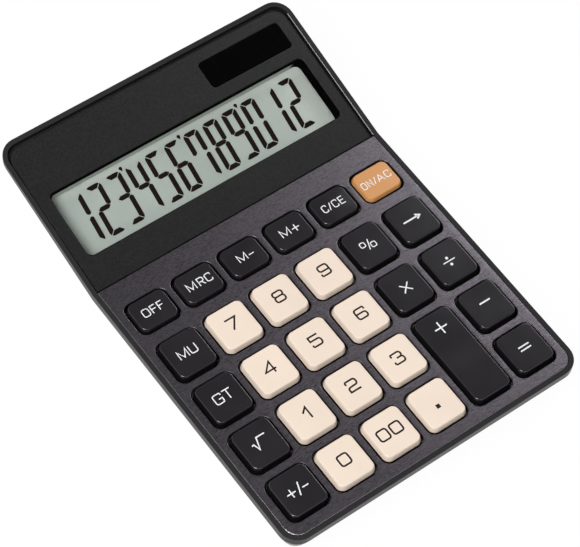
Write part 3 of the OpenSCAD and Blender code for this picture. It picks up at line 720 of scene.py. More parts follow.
def loft(mesh: Mesh, rings: Sequence[Sequence[Point]], closed: bool = False) -> None:
    """Joins rings of equal length with faces.

    Args:
        mesh: The mesh that is added to.
        rings: Rings of points, each as x, y, z.
        closed: Whether the last ring joins the first; otherwise both ends are capped.
    """
    rows = rows_of(mesh, rings)
    skin(mesh, rows + rows[:1] if closed else rows)
    if not closed:
        mesh.faces.new(rows[0][::-1])
        mesh.faces.new(rows[-1])


def prism(mesh: Mesh, outline: Sequence[Point], low: float, high: float) -> None:
    """Adds an upright prism on an outline, from one height to another."""
    loft(mesh, [[(x, y, z) for x, y in outline] for z in (low, high)])


def show(name: str, data: bpy.types.ID) -> Piece:
    """Adds an object with some data to the scene."""
    piece = bpy.data.objects.new(name, data)
    bpy.context.scene.collection.objects.link(piece)
    return piece


def to_object(name: str, mesh: Mesh, finish: Finish, crease: float = 30.0, place: Matrix = HERE) -> Piece:
    """Turns a built mesh into a piece.

    Args:
        name: The piece's name.
        mesh: The built mesh, which is freed.
        finish: Its finish.
        crease: Edges that turn more than this many degrees stay creased.
        place: Where it goes, worked into its points.

    Returns:
        The piece.
    """
    bmesh.ops.recalc_face_normals(mesh, faces=mesh.faces)
    mesh.transform(place)
    for face in mesh.faces:
        face.smooth = True
    limit = math.radians(crease)
    for edge in mesh.edges:
        edge.smooth = len(edge.link_faces) == 2 and edge.calc_face_angle(0.0) < limit
    data = bpy.data.meshes.new(name)
    mesh.to_mesh(data)
    mesh.free()
    data.materials.append(finish.material())
    piece = show(name, data)
    piece.modifiers.new("even_faces", "WEIGHTED_NORMAL").keep_sharp = True
    return piece


def sheet(
    name: str,
    outlines: Sequence[Sequence[Point]],
    span: Pair,
    edge: float,
    finish: Finish,
    place: Matrix = HERE,
) -> Piece:
    """A flat sheet with openings and softened edges.

    Args:
        name: The piece's name.
        outlines: The outer outline, then the openings.
        span: The heights of its underside and its face.
        edge: The radius of its edges.
        finish: Its finish.
        place: Where it goes.

    Returns:
        The piece.
    """
    curve = bpy.data.curves.new(name, "CURVE")
    curve.dimensions = "2D"
    curve.fill_mode = "BOTH"
    for outline in outlines:
        spline = curve.splines.new("POLY")
        spline.points.add(len(outline) - 1)
        for point, (x, y) in zip(spline.points, outline):
            point.co = (x, y, 0.0, 1.0)
        spline.use_cyclic_u = True
    curve.extrude = (span[1] - span[0]) / 2 - edge
    curve.bevel_depth = edge
    curve.bevel_resolution = 2
    curve.offset = -edge
    shape = show(name + "_curve", curve)
    bpy.context.view_layer.update()
    data = bpy.data.meshes.new_from_object(shape.evaluated_get(bpy.context.evaluated_depsgraph_get()))
    bpy.data.objects.remove(shape)
    mesh = bmesh.new()
    mesh.from_mesh(data)
    bpy.data.meshes.remove(data)
    bmesh.ops.remove_doubles(mesh, verts=mesh.verts, dist=WELD)
    mesh.transform(Matrix.Translation((0, 0, sum(span) / 2)))
    return to_object(name, mesh, finish, 40.0, place)


def settle(piece: Piece, body: str, slot: str, *nodes: str) -> None:
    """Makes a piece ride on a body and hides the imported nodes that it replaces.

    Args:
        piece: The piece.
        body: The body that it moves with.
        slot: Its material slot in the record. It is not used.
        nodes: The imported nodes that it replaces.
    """
    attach(piece, body)
    if nodes:
        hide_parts(*nodes)
    LOG.info("%s: %d points, on %s", piece.name, len(piece.data.vertices), body)


# ------------------------------------------------------------------- legends

# A glyph is a few strokes in a box that is 1 wide and 1 high. A stroke that ends on
# its first point is closed. A point may carry its own corner radius in millimetres;
# 0 leaves that corner unrounded.
ROUND: tuple[Point, ...] = ((0, 0), (1, 0), (1, 1), (0, 1), (0, 0))
GLYPHS: dict[str, tuple[tuple[Point, ...], ...]] = {
    "0": (ROUND,),
    "1": (((0, 0.62), (1, 1, 0), (1, 0)),),
    "2": (((0, 0.74), (0, 1), (1, 1), (1, 0.46), (0, 0.42), (0, 0, 0), (1, 0)),),
    "3": (
        ((0, 0.76), (0, 1), (0.95, 1), (0.95, 0.52), (0.42, 0.52)),
        ((0.42, 0.52), (1, 0.52), (1, 0), (0, 0), (0, 0.24)),
    ),
    "4": (((0.78, 0), (0.78, 1, 0), (0, 0.28, 0), (1, 0.28)),),
    "5": (((0.96, 1), (0, 1, 0), (0, 0.59, 0), (1, 0.59), (1, 0), (0, 0), (0, 0.2)),),
    "6": (((1, 0.76), (1, 1), (0, 1), (0, 0), (1, 0), (1, 0.53), (0, 0.53)),),
    "7": (((0, 1), (1, 1, 0), (0.25, 0)),),
    "8": (
        ((0, 0), (1, 0), (1, 0.53), (0, 0.53), (0, 0)),
        ((0, 0.53), (1, 0.53), (1, 1), (0, 1), (0, 0.53)),
    ),
    "9": (((0, 0.22), (0, 0), (1, 0), (1, 1), (0, 1), (0, 0.45), (1, 0.45)),),
    "O": (ROUND,),
    "F": (((1, 1), (0, 1, 0), (0, 0)), ((0, 0.52), (0.9, 0.52))),
    "E": (((1, 1), (0, 1, 0), (0, 0, 0), (1, 0)), ((0, 0.52), (0.9, 0.52))),
    "M": (((0, 0), (0, 1, 0), (0.5, 0.08, 0), (1, 1, 0), (1, 0)),),
    "N": (((0, 0), (0, 1, 0), (1, 0, 0), (1, 1)),),
    "R": (((0, 0), (0, 1, 0), (1, 1), (1, 0.46), (0, 0.46)), ((0.5, 0.46), (1, 0))),
    "C": (((1, 0.76), (1, 1), (0, 1), (0, 0), (1, 0), (1, 0.24)),),
    "G": (((1, 0.8), (1, 1), (0, 1), (0, 0), (1, 0), (1, 0.46, 0), (0.56, 0.46)),),
    "T": (((0, 1), (1, 1)), ((0.5, 1), (0.5, 0))),
    "U": (((0, 1), (0, 0), (1, 0), (1, 1)),),
    "A": (((0, 0), (0.5, 1, 0), (1, 0)), ((0.18, 0.3), (0.82, 0.3))),
    "/": (((0, 0), (1, 1)),),
    "-": (((0, 0.5), (1, 0.5)),),
    "+": (((0, 0.5), (1, 0.5)), ((0.5, 0), (0.5, 1))),
    "x": (((0, 0), (1, 1)), ((0, 1), (1, 0))),
    "=": (((0, 0), (1, 0)), ((0, 1), (1, 1))),
    "root": (((0, 0.55), (0.12, 0.58, 0), (0.25, 0, 0), (0.48, 1, 0), (1, 1)),),
}


@dataclass(frozen=True)
class Mark:
    """One glyph of a legend: its box about the key's middle, in millimetres."""

    glyph: str
    left: float
    low: float
    right: float
    high: float


@dataclass(frozen=True)
class Legend:
    """What is printed on one key."""

    marks: tuple[Mark, ...] = ()
    stroke: float = 0.45
    bend: float = 0.75

    def strokes(self) -> Iterable[tuple[bool, list[Point]]]:
        """Each stroke's path on the key, in millimetres, and whether it closes."""
        for mark in self.marks:
            width, height = mark.right - mark.left, mark.high - mark.low
            for points in GLYPHS[mark.glyph]:
                closed = points[0] == points[-1]
                path = [(mark.left + p[0] * width, mark.low + p[1] * height, *p[2:]) for p in points]
                yield closed, round_path(path[:-1] if closed else path, self.bend, closed)


Edges = Sequence[float]


def word(text: str, lefts: Edges, rights: Edges, low: float, high: float) -> tuple[Mark, ...]:
    """The marks of a word, from the left and right edge of each letter."""
    return tuple(Mark(t, a, low, b, high) for t, a, b in zip(text, lefts, rights))


NUMBER_STROKE, NUMBER_BEND = 0.66, 1.0


def single(
    glyph: str, left: float, low: float, right: float, high: float, stroke: float = NUMBER_STROKE
) -> Legend:
    """The legend of a key with one glyph, a number unless it has its own stroke."""
    return Legend((Mark(glyph, left, low, right, high),), stroke, NUMBER_BEND)


# The top row's letters: where most of them start and end, and their stroke.
TOP_LOW, TOP_HIGH, TOP_STROKE = -1.4, 1.6, 0.38
LEGENDS: dict[str, Legend] = {
    "key_off": Legend(word("OFF", (-3.85, -0.45, 2.3), (-1.45, 1.4, 4.1), TOP_LOW, TOP_HIGH), TOP_STROKE),
    "key_mrc": Legend(word("MRC", (-4.6, -0.2, 2.85), (-1.65, 1.9, 5.0), TOP_LOW, TOP_HIGH), TOP_STROKE),
    "key_m_minus": Legend(
        (Mark("M", -2.6, TOP_LOW, 0.6, TOP_HIGH), Mark("-", 1.6, -1.3, 3.5, 0.6)), TOP_STROKE
    ),
    "key_m_plus": Legend(
        (Mark("M", -3.45, TOP_LOW, -0.1, TOP_HIGH), Mark("+", 1.05, -1.6, 3.85, 1.2)), TOP_STROKE
    ),
    "key_clear": Legend(
        word("C/CE", (-4.45, -1.95, -0.1, 2.75), (-2.75, -0.85, 1.75, 4.45), TOP_LOW + 0.15, TOP_HIGH), 0.36
    ),
    "key_on": Legend(
        word("ON/AC", (-6.3, -3.75, -1.3, 0.3, 3.7), (-4.6, -2.1, -0.2, 2.75, 5.6), -1.2, 1.5), 0.34
    ),
    "key_mu": Legend(word("MU", (-3.45, 0.95), (-0.1, 3.5), -1.35, 1.9), 0.4),
    "key_7": single("7", -2.1, -1.6, 1.95, 2.75),
    "key_8": single("8", -1.85, -1.45, 1.9, 2.7),
    "key_9": single("9", -1.85, -1.5, 1.9, 2.65),
    "key_percent": Legend((
        Mark("O", -2.95, 0.2, -1.1, 2.15),
        Mark("/", -0.7, -1.6, 0.75, 2.3),
        Mark("O", 0.6, -1.45, 2.5, 0.55),
    ), 0.38, 0.6),
    "key_back": single("-", -3.7, -0.7, 2.3, 1.3, 0.62),
    "key_gt": Legend(word("GT", (-3.45, 0.4), (-0.5, 3.35), -1.5, 2.15), 0.42),
    "key_4": single("4", -2.2, -1.75, 1.9, 2.75),
    "key_5": single("5", -1.95, -1.65, 1.85, 2.5),
    "key_6": single("6", -1.85, -1.65, 2.0, 2.45),
    "key_times": single("x", -1.65, -1.75, 1.75, 1.6, 0.45),
    "key_divide": single("-", -2.4, -0.8, 2.35, 1.1, 0.45),
    "key_root": single("root", -3.05, -1.9, 3.0, 2.45, 0.5),
    "key_1": single("1", -1.1, -1.8, 0.8, 2.65),
    "key_2": single("2", -2.05, -1.75, 1.85, 2.45),
    "key_3": single("3", -2.1, -1.85, 1.85, 2.3),
    "key_plus": single("+", -2.3, -1.05, 2.5, 3.75, 0.52),
    "key_minus": single("-", -2.2, 0.2, 2.05, 2.1, 0.58),
    "key_sign": Legend((
        Mark("+", -4.2, -1.5, -1.0, 1.6),
        Mark("/", -0.35, -2.05, 1.35, 2.5),
        Mark("-", 1.7, -1.0, 4.0, 0.9),
    )),
    "key_0": single("0", -2.05, -1.65, 1.85, 2.4),
    "key_00": Legend(word("00", (-4.95, 0.25), (-1.1, 4.15), -1.75, 2.3), NUMBER_STROKE, NUMBER_BEND),
    "key_point": Legend(),
    "key_equals": single("=", -2.2, -0.55, 2.1, 0.85, 0.52),
}

# The filled marks of the few keys that have them, in millimetres.
SOLID_MARKS: dict[str, list[list[Point]]] = {
    "key_point": [[(-1.1, -2.05), (0.4, -2.05), (0.4, -0.5), (-1.1, -0.5)]],
    "key_divide": [arc((-0.05, y), 0.55, 0, 345, 23) for y in (1.5, -1.35)],
    "key_back": [[(1.5, -0.85), (2.0, -0.85), (3.7, 0.3), (2.0, 1.45), (1.5, 1.45), (1.9, 0.3)]],
}


# ---------------------------------------------------------------------- keys


class Tone(Enum):
    """The plastics that the key caps are moulded in, with the ink of each."""

    CREAM = (Finish.KEY_CREAM, Finish.BROWN_INK)
    ORANGE = (Finish.KEY_ORANGE, Finish.WHITE_INK)
    BLACK = (Finish.KEY_BLACK, Finish.WHITE_INK)


@dataclass
class KeyCap:
    """One key: a hollow cap with wings and plungers, and its printed legend.

    The wall turns in at its shoulder, which lies at shares of the taper and the edge.
    """

    node: str
    tone: Tone
    width: float = 15.0 * MM
    corner: float = 2.5 * MM
    least_corner: float = 0.6 * MM
    edge: float = 0.4 * MM
    face_border: float = 0.15 * MM
    draft: float = 0.15 * MM
    taper: float = 0.3 * MM
    shoulder: Pair = (0.8, 1.3)
    shell: float = 1.2 * MM
    wing: float = 1.2 * MM
    wing_corner: float = 0.8 * MM
    plunger: float = 5.0 * MM
    plunger_corner: float = 0.5 * MM
    overlap: float = 0.2 * MM
    ink: float = 0.012 * MM
    ink_step: float = 0.0012 * MM
    ink_depth: float = 0.02 * MM
    row_pitch: float = 20.6 * MM
    top_crown: float = 0.09 * MM
    crown_rings: tuple[float, ...] = (0.8, 0.6, 0.4, 0.2)
    skirt_drop: float = 2.4 * MM
    lit_drop: float = 0.5 * MM

    def __post_init__(self) -> None:
        """Takes the key's place and size from the frame."""
        self.low, self.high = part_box(self.node)
        self.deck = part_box("deck_plate")[1].z
        self.depth = self.high.y - self.low.y - 2 * self.draft
        self.middle = (self.low + self.high) / 2
        self.rows = 2 if self.depth > self.row_pitch else 1
        self.skirt = self.deck - self.skirt_drop
        self.crown = self.top_crown if self.depth < self.width else 0.0

    def place(self, shift: float = 0.0) -> Matrix:
        """Puts a piece over the key's middle, or a little further back."""
        return Matrix.Translation((self.middle.x, self.middle.y + shift, 0))

    def outline(self, inset: float, height: float) -> list[Point]:
        """The cap's outline.

        Args:
            inset: How far it is drawn in.
            height: Its height above the table.

        Returns:
            The outline, each point as x, y, z.
        """
        corner = max(self.corner - inset, self.least_corner)
        shape = rounded(self.width - 2 * inset, self.depth - 2 * inset, corner, 10)
        return [(x, y, height) for x, y in shape]

    def build_cap(self) -> Piece:
        """Builds the cap with its inside, wings and plungers."""
        top = self.high.z - self.crown
        roof = top - self.shell
        turn = arc((self.taper + self.edge, top - self.edge), self.edge, 180, 90, 9)
        wall = [
            (-self.draft, self.skirt),
            (-self.draft, self.deck - self.lit_drop),
            (self.taper * self.shoulder[0], top - self.edge * self.shoulder[1]),
            *turn,
            (self.taper + self.edge + self.face_border, top),
        ]
        mesh = bmesh.new()
        outside = rows_of(mesh, [self.outline(*step) for step in wall])
        inside = rows_of(mesh, [self.outline(self.shell, height) for height in (roof, self.skirt)])
        for rows in (outside, inside, [inside[-1], outside[0]]):
            skin(mesh, rows)
        self.add_crown(mesh, outside[-1])
        mesh.faces.new(inside[0][::-1])
        self.add_wings(mesh)
        self.add_plungers(mesh, roof)
        cap = to_object("cap_" + self.node, mesh, self.tone.value[0], place=self.place())
        self.paint_gap_shade(cap)
        return cap

    def add_crown(self, mesh: Mesh, ring: Row) -> None:
        """Closes the cap with its face, which is flat or slightly crowned.

        Args:
            mesh: The mesh that is added to.
            ring: The edge of the face.
        """
        rows = [ring]
        for share in self.crown_rings if self.crown else ():
            lift = self.crown * (1 - share**2)
            rows.append([mesh.verts.new((v.co.x * share, v.co.y * share, v.co.z + lift)) for v in ring])
        skin(mesh, rows)
        mesh.faces.new(rows[-1])

    def paint_gap_shade(self, cap: Piece) -> None:
        """Paints shade: what lies below the deck, the outside of the cap's skirt included, takes the
        carrier's black, so that the gap round the key reads dark.

        Args:
            cap: The built cap.
        """
        cap.data.materials.append(Finish.CARRIER.material())
        for face in cap.data.polygons:
            if face.center.z < self.deck - self.lit_drop:
                face.material_index = 1

    def add_wings(self, mesh: Mesh) -> None:
        """Adds the two wings that hold the cap under the ceiling.

        Args:
            mesh: The mesh that is added to.
        """
        reach = (self.high.x - self.low.x) / 2
        start = self.width / 2 - self.shell
        wing = rounded(reach - start, self.depth - 2 * self.corner, self.wing_corner, 4)
        for side in (-1, 1):
            prism(mesh, moved(wing, side * (reach + start) / 2, 0), self.skirt - self.wing, self.skirt)

    def add_plungers(self, mesh: Mesh, roof: float) -> None:
        """Adds a plunger under each row that the key covers.

        Args:
            mesh: The mesh that is added to.
            roof: The height of the cap's inside, which the plunger enters a little.
        """
        foot = rounded(self.plunger, self.plunger, self.plunger_corner, 3)
        for i in range(self.rows):
            shift = (i - (self.rows - 1) / 2) * self.row_pitch
            prism(mesh, moved(foot, 0, shift), self.low.z, roof + self.overlap)

    def build_legend(self) -> Piece:
        """Builds the printed legend as thin inlaid strokes, on the back row of a long key."""
        legend = LEGENDS[self.node]
        mesh = bmesh.new()
        top = self.high.z + self.ink
        for i, (closed, path) in enumerate(legend.strokes()):
            points = [Vector(point) * MM for point in path]
            add_stroke(mesh, points, legend.stroke * MM, closed, top - i * self.ink_step)
        for outline in SOLID_MARKS.get(self.node, ()):
            prism(mesh, [(x * MM, y * MM) for x, y in outline], self.high.z - self.ink_depth, top)
        place = self.place((self.rows - 1) * self.row_pitch / 2)
        return to_object("legend_" + self.node, mesh, self.tone.value[1], place=place)

    def build(self, slot: str) -> None:
        """Builds the cap and the legend and seats them on the key's body.

        Args:
            slot: The key's material slot in the record.
        """
        body = self.node + "_cap"
        settle(self.build_cap(), body, slot, self.node)
        settle(self.build_legend(), body, slot)


# The rounded end of a stroke: its share of the stroke's width, and its reach past the end.
END_WIDTH, END_REACH = 0.6, 0.18


def round_off(tip: Vector, inner: Vector, corner: Vector, width: float) -> Vector:
    """The point past a stroke's corner that rounds its tip, which follows an inner point."""
    return tip * (1 - END_WIDTH) + corner * END_WIDTH + (tip - inner).normalized() * width * END_REACH


def add_stroke(
    mesh: Mesh, path: Sequence[Vector], width: float, closed: bool, top: float, depth: float = 0.03 * MM
) -> None:
    """Adds a stroke of even width with mitred turns and rounded ends.

    Args:
        mesh: The mesh that is added to.
        path: The middle of the stroke.
        width: Its width.
        closed: Whether it closes on itself.
        top: The height of its face.
        depth: How far its sides reach down.
    """
    tightest = 0.45  # keeps the mitre of a tight turn short
    count = len(path)
    left: list[Vector] = []
    right: list[Vector] = []
    for i, here in enumerate(path):
        back = path[i - 1] if closed or i > 0 else None
        ahead = path[(i + 1) % count] if closed or i < count - 1 else None
        before = (here - back).normalized() if back is not None else (ahead - here).normalized()
        after = (ahead - here).normalized() if ahead is not None else before
        along = (before + after).normalized()
        side = Vector((-along.y, along.x))
        reach = width / 2 / max(tightest, side.dot(Vector((-before.y, before.x))))
        left.append(here + side * reach)
        right.append(here - side * reach)
    for edge in () if closed else (left, right):
        edge.insert(0, round_off(path[0], path[1], edge[0], width))
        edge.append(round_off(path[-1], path[-2], edge[-1], width))
    foot = top - depth
    loft(mesh, [[(*a, top), (*b, top), (*b, foot), (*a, foot)] for a, b in zip(left, right)], closed)


@dataclass
class Keypad:
    """All the keys, each with the tone of its material slot."""

    def build(self) -> None:
        """Builds every key that the record lists."""
        tones = {"key_cream": Tone.CREAM, "key_orange": Tone.ORANGE, "key_black": Tone.BLACK}
        for part in frame["record"]["subparts"]:
            tone = tones.get(part["material_slot"])
            if tone is not None:
                KeyCap(part["node"], tone).build(part["material_slot"])


# -------------------------------------------------------------------- housing


@dataclass
class Layout:
    """Where the deck ends and the display section rises, taken from the frame."""

    tilt: float = math.radians(13.5)
    deck_gap: float = 0.15 * MM
    rim: float = 1.75 * MM
    corner: float = 7.0 * MM

    def __post_init__(self) -> None:
        """Reads the places of the case and the deck plate."""
        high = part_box("upper_case")[1]
        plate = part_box("deck_plate")[1]
        self.deck = plate.z
        self.fold = plate.y + self.deck_gap
        self.half_width = high.x
        self.slope_length = (high.y - self.fold) / math.cos(self.tilt)

    def on_slope(self) -> Matrix:
        """Puts a piece on the rim plane of the display section, with Y up the slope."""
        return Matrix.Translation((0, self.fold, self.deck)) @ Matrix.Rotation(self.tilt, 4, "X")


@dataclass
class DeckPlate:
    """The brushed plate round the keys, with its bright softened edge."""

    layout: Layout
    edge: float = 0.24 * MM
    key_gap: float = 0.75 * MM

    def openings(self) -> list[list[Point]]:
        """The opening of each key."""
        shapes = []
        for node in LEGENDS:
            low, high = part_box(node)
            width = KeyCap.width + 2 * (KeyCap.draft + self.key_gap)
            shape = rounded(width, high.y - low.y + 2 * self.key_gap, KeyCap.corner + self.key_gap)
            shapes.append(moved(shape, (low.x + high.x) / 2, (low.y + high.y) / 2)[::-1])
        return shapes

    def outline(self) -> list[Point]:
        """The plate's outline: round at the front, square at the fold."""
        low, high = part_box("deck_plate")
        radius = self.layout.corner - self.layout.rim
        right = arc((high.x - radius, low.y + radius), radius, 270, 360, 12)
        return [*mirrored(right)[::-1], *right, (high.x, high.y), (low.x, high.y)]

    def build(self) -> None:
        """Builds the plate."""
        low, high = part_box("deck_plate")
        outlines = [self.outline(), *self.openings()]
        plate = sheet("deck_plate_brushed", outlines, (low.z, high.z), self.edge, Finish.DECK)
        settle(plate, "case", "plate", "deck_plate")


# Which of the seven bars each figure lights: top, upper right, lower right,
# bottom, lower left, upper left, middle.
BARS = {
    "0": (1, 1, 1, 1, 1, 1, 0), "1": (0, 1, 1, 0, 0, 0, 0), "2": (1, 1, 0, 1, 1, 0, 1),
    "3": (1, 1, 1, 1, 0, 0, 1), "4": (0, 1, 1, 0, 0, 1, 1), "5": (1, 0, 1, 1, 0, 1, 1),
    "6": (1, 0, 1, 1, 1, 1, 1), "7": (1, 1, 1, 0, 0, 1, 0), "8": (1, 1, 1, 1, 1, 1, 1),
    "9": (1, 1, 1, 1, 0, 1, 1),
}


@dataclass
class Figures:
    """The figures on the display: bars with pointed, mitred ends, leaning a little."""

    text: str = "123456789012"
    group: int = 3
    first: float = -43.15 * MM
    pitch: float = 8.186 * MM
    middle: float = 26.6 * MM
    half_width: float = 2.2 * MM
    upper: float = 8.4 * MM
    lower: float = 9.5 * MM
    bar: float = 1.85 * MM
    gap: float = 0.12 * MM
    bend: float = 1.75 * MM
    lean: float = 0.075
    mark_place: Pair = (2.35 * MM, 9.6 * MM)
    mark_radius: float = 0.66 * MM
    mark_tail: Pair = (0.1 * MM, -1.3 * MM)

    def corner(self, end: float, start: float, stop: float) -> list[Point]:
        """Points on the round corner at the right of one of the figure's ends.

        Args:
            end: The height of the figure's end, below 0 for the lower one.
            start: Where the arc starts, in degrees from level.
            stop: Where it ends.

        Returns:
            The points along the arc.
        """
        s = math.copysign(1.0, end)
        middle = (self.half_width + self.bar / 2 - self.bend, abs(end) + self.bar / 2 - self.bend)
        return [(x, s * y) for x, y in arc(middle, self.bend, start, stop, 4)]

    def upright(self, end: float) -> list[Point]:
        """The outline of the right upright bar, up or down to one end.

        Its pointed end by the middle bar is cut in shares of its half width h and the gap g.

        Args:
            end: The height of the figure's end, below 0 for the lower one.

        Returns:
            The outline.
        """
        h, g, x = self.bar / 2, self.gap, self.half_width
        s = math.copysign(1.0, end)
        mitre = math.degrees(g / self.bend)
        return [
            (x - h, s * (h + g * 2.0)), (x - h * 0.3, s * (h * 0.42 + g)),
            (x + h * 0.35, s * (h * 0.3 + g)), (x + h, s * (h * 0.9 + g)),
            *self.corner(end, 0.0, 45.0 - mitre), (x - h, end - s * (h + g * 1.4)),
        ]

    def level(self, end: float) -> list[Point]:
        """The outline of the top or the bottom bar.

        Args:
            end: The height of the figure's end, below 0 for the lower one.

        Returns:
            The outline.
        """
        inner = self.half_width - self.bar / 2 - self.gap * 1.4
        side = end - math.copysign(self.bar / 2, end)
        right = self.corner(end, 45.0 + math.degrees(self.gap / self.bend), 90.0)
        return [(-inner, side), (inner, side), *right, *mirrored(right)[::-1]]

    def centre(self) -> list[Point]:
        """The outline of the middle bar, pointed at both ends."""
        h, g, x = self.bar / 2, self.gap, self.half_width
        right = [(x - h + g, -h * 0.95), (x + h * 0.3, 0.0), (x - h + g, h * 0.95)]
        return right + [(-px, -py) for px, py in right]

    def bars(self) -> list[list[Point]]:
        """The outlines of the seven bars about the figure's middle."""
        top, bottom = self.upright(self.upper), self.upright(-self.lower)
        left = [mirrored(bottom), mirrored(top)]
        return [self.level(self.upper), top, bottom, self.level(-self.lower), *left, self.centre()]

    def outlines(self) -> list[list[Point]]:
        """Every lit bar and every thousands mark, in the plane of the display."""
        shapes = []
        for i, figure in enumerate(self.text):
            x = self.first - self.half_width + i * self.pitch
            for lit, shape in zip(BARS[figure], self.bars()):
                if lit:
                    shapes.append([(px + x + py * self.lean, py + self.middle) for px, py in shape])
            if i % self.group == self.group - 1 and i < len(self.text) - 1:
                right = x + self.half_width + self.mark_place[0]
                shapes.append(moved(self.mark(), right, self.middle + self.mark_place[1]))
        return shapes

    def mark(self) -> list[Point]:
        """A thousands mark: a dot with a short tail."""
        return [self.mark_tail, *arc((0, 0), self.mark_radius, -20, 235, 14)]


@dataclass
class DisplayUnit:
    """The panel, the solar face, the painted highlight on the right rim, the well's lining and the lit
    figures.
    """

    layout: Layout
    recess: float = 1.1 * MM
    thickness: float = 1.6 * MM
    edge: float = 0.18 * MM
    side_gap: float = 0.6 * MM
    back_gap: float = 1.1 * MM
    front_gap: float = 0.4 * MM
    window: Pair = (107.7 * MM, 26.4 * MM)
    window_start: float = 12.2 * MM
    window_corner: float = 2.4 * MM
    solar: Pair = (34.8 * MM, 10.9 * MM)
    solar_start: float = 43.5 * MM
    solar_corner: float = 1.6 * MM
    solar_gap: float = 0.1 * MM
    solar_drop: float = 0.25 * MM
    solar_edge: float = 0.12 * MM
    depth: float = 6.1 * MM
    liner: float = 0.25 * MM
    liner_gap: float = 0.01 * MM
    liner_drop: float = 0.35 * MM
    liner_edge: float = 0.03 * MM
    line_width: float = 0.12 * MM
    line_reach: float = 0.4 * MM
    line_gap: float = 0.02 * MM
    line_slope: float = 0.06 * MM
    figure_span: Pair = (-0.02 * MM, 0.03 * MM)

    def __post_init__(self) -> None:
        """Works out the height of the panel's face and the way on to the slope."""
        self.top = -self.recess
        self.place = self.layout.on_slope()

    def outline(self) -> list[Point]:
        """The panel's outline on the slope: square at the fold, round at the back."""
        lay = self.layout
        x = lay.half_width - lay.rim - self.side_gap
        y = lay.slope_length - lay.rim - self.back_gap
        radius = lay.corner - lay.rim
        right = arc((x - radius, y - radius), radius, 0, 90, 10)
        return [(-x, self.front_gap), (x, self.front_gap), *right, *mirrored(right)[::-1]]

    def windows(self, grow: float = 0.0) -> tuple[list[Point], list[Point]]:
        """The outlines of the main window and the solar window.

        Args:
            grow: How far both are grown.

        Returns:
            The two outlines, on the slope.
        """
        (width, length), (across, along) = self.window, self.solar
        main = rounded(width + 2 * grow, length + 2 * grow, self.window_corner)
        small = rounded(across + 2 * grow, along + 2 * grow, self.solar_corner)
        return (
            moved(main, 0, self.window_start + length / 2),
            moved(small, (width - across) / 2, self.solar_start + along / 2),
        )

    def build(self) -> None:
        """Builds the panel, the solar face and what shows in the main window."""
        base = self.top - self.thickness
        outlines = [self.outline(), *(window[::-1] for window in self.windows())]
        panel = sheet("panel_face", outlines, (base, self.top), self.edge, Finish.PANEL, self.place)
        settle(panel, "case", "panel", "display_panel")
        face = self.windows(-self.solar_gap)[1]
        span = (base, self.top - self.solar_drop)
        solar = sheet("solar_face", [face], span, self.solar_edge, Finish.SOLAR, self.place)
        settle(solar, "case", "solar", "solar_window")
        self.build_painted_rim_highlight()
        self.build_liner()
        self.build_figures()

    def build_painted_rim_highlight(self) -> None:
        """Builds a painted highlight: a pale strip along the inner edge of the right rim, where that edge
        catches the light.
        """
        x = self.layout.half_width - self.layout.rim - self.line_gap
        end = self.layout.slope_length - self.layout.corner
        inner, top, foot = x - self.line_width, -self.line_gap, -self.line_reach
        profile = [(inner, top - self.line_slope), (inner, foot), (x, foot), (x, top)]
        mesh = bmesh.new()
        loft(mesh, [[(px, y, pz) for px, pz in profile] for y in (self.front_gap, end)])
        settle(to_object("painted_rim_highlight", mesh, Finish.RIM_LINE, 20.0, self.place), "case", "panel")

    def build_liner(self) -> None:
        """Builds the matt black strip that lines the well."""
        outlines = [self.windows(-self.liner_gap)[0], self.windows(-self.liner)[0][::-1]]
        span = (self.top - self.depth + self.liner_edge, self.top - self.liner_drop)
        liner = sheet("well_liner", outlines, span, self.liner_edge, Finish.WELL, self.place)
        settle(liner, "case", "panel")

    def build_figures(self) -> None:
        """Builds the lit figures just over the display's field."""
        mesh = bmesh.new()
        low, high = (self.top - self.depth + rise for rise in self.figure_span)
        for shape in Figures().outlines():
            prism(mesh, shape, low, high)
        figures = to_object("display_figures", mesh, Finish.SEGMENT, place=self.place)
        settle(figures, "case", "lcd")


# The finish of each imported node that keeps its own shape, and the radius of its edges.
DRESSINGS: dict[str, tuple[Finish, float]] = {
    "upper_case": (Finish.CASE, 0.22 * MM),
    "lower_case": (Finish.BASE, 0.2 * MM),
    "battery_door": (Finish.BASE, 0.15 * MM),
    "display_pane": (Finish.PANE, 0.0),
    "display_glass": (Finish.DISPLAY, 0.0),
    "glass_holder": (Finish.WHITE, 0.0),
    "glass_ribbon": (Finish.FILM, 0.0),
    "solar_cell": (Finish.CELL, 0.0),
    "solar_wires": (Finish.BLACK_WIRE, 0.0),
    "battery_wires": (Finish.BLACK_WIRE, 0.0),
    "rubber_mat": (Finish.MAT, 0.0),
    "main_board": (Finish.BOARD, 0.0),
    "board_parts": (Finish.EPOXY, 0.0),
    "board_screws": (Finish.STEEL, 0.0),
    "case_screws": (Finish.DARK_STEEL, 0.08 * MM),
    "rubber_feet": (Finish.FOOT, 0.25 * MM),
    "button_cell": (Finish.STEEL, 0.15 * MM),
    "contact_side": (Finish.CONTACT, 0.0),
    "contact_top": (Finish.CONTACT, 0.0),
}


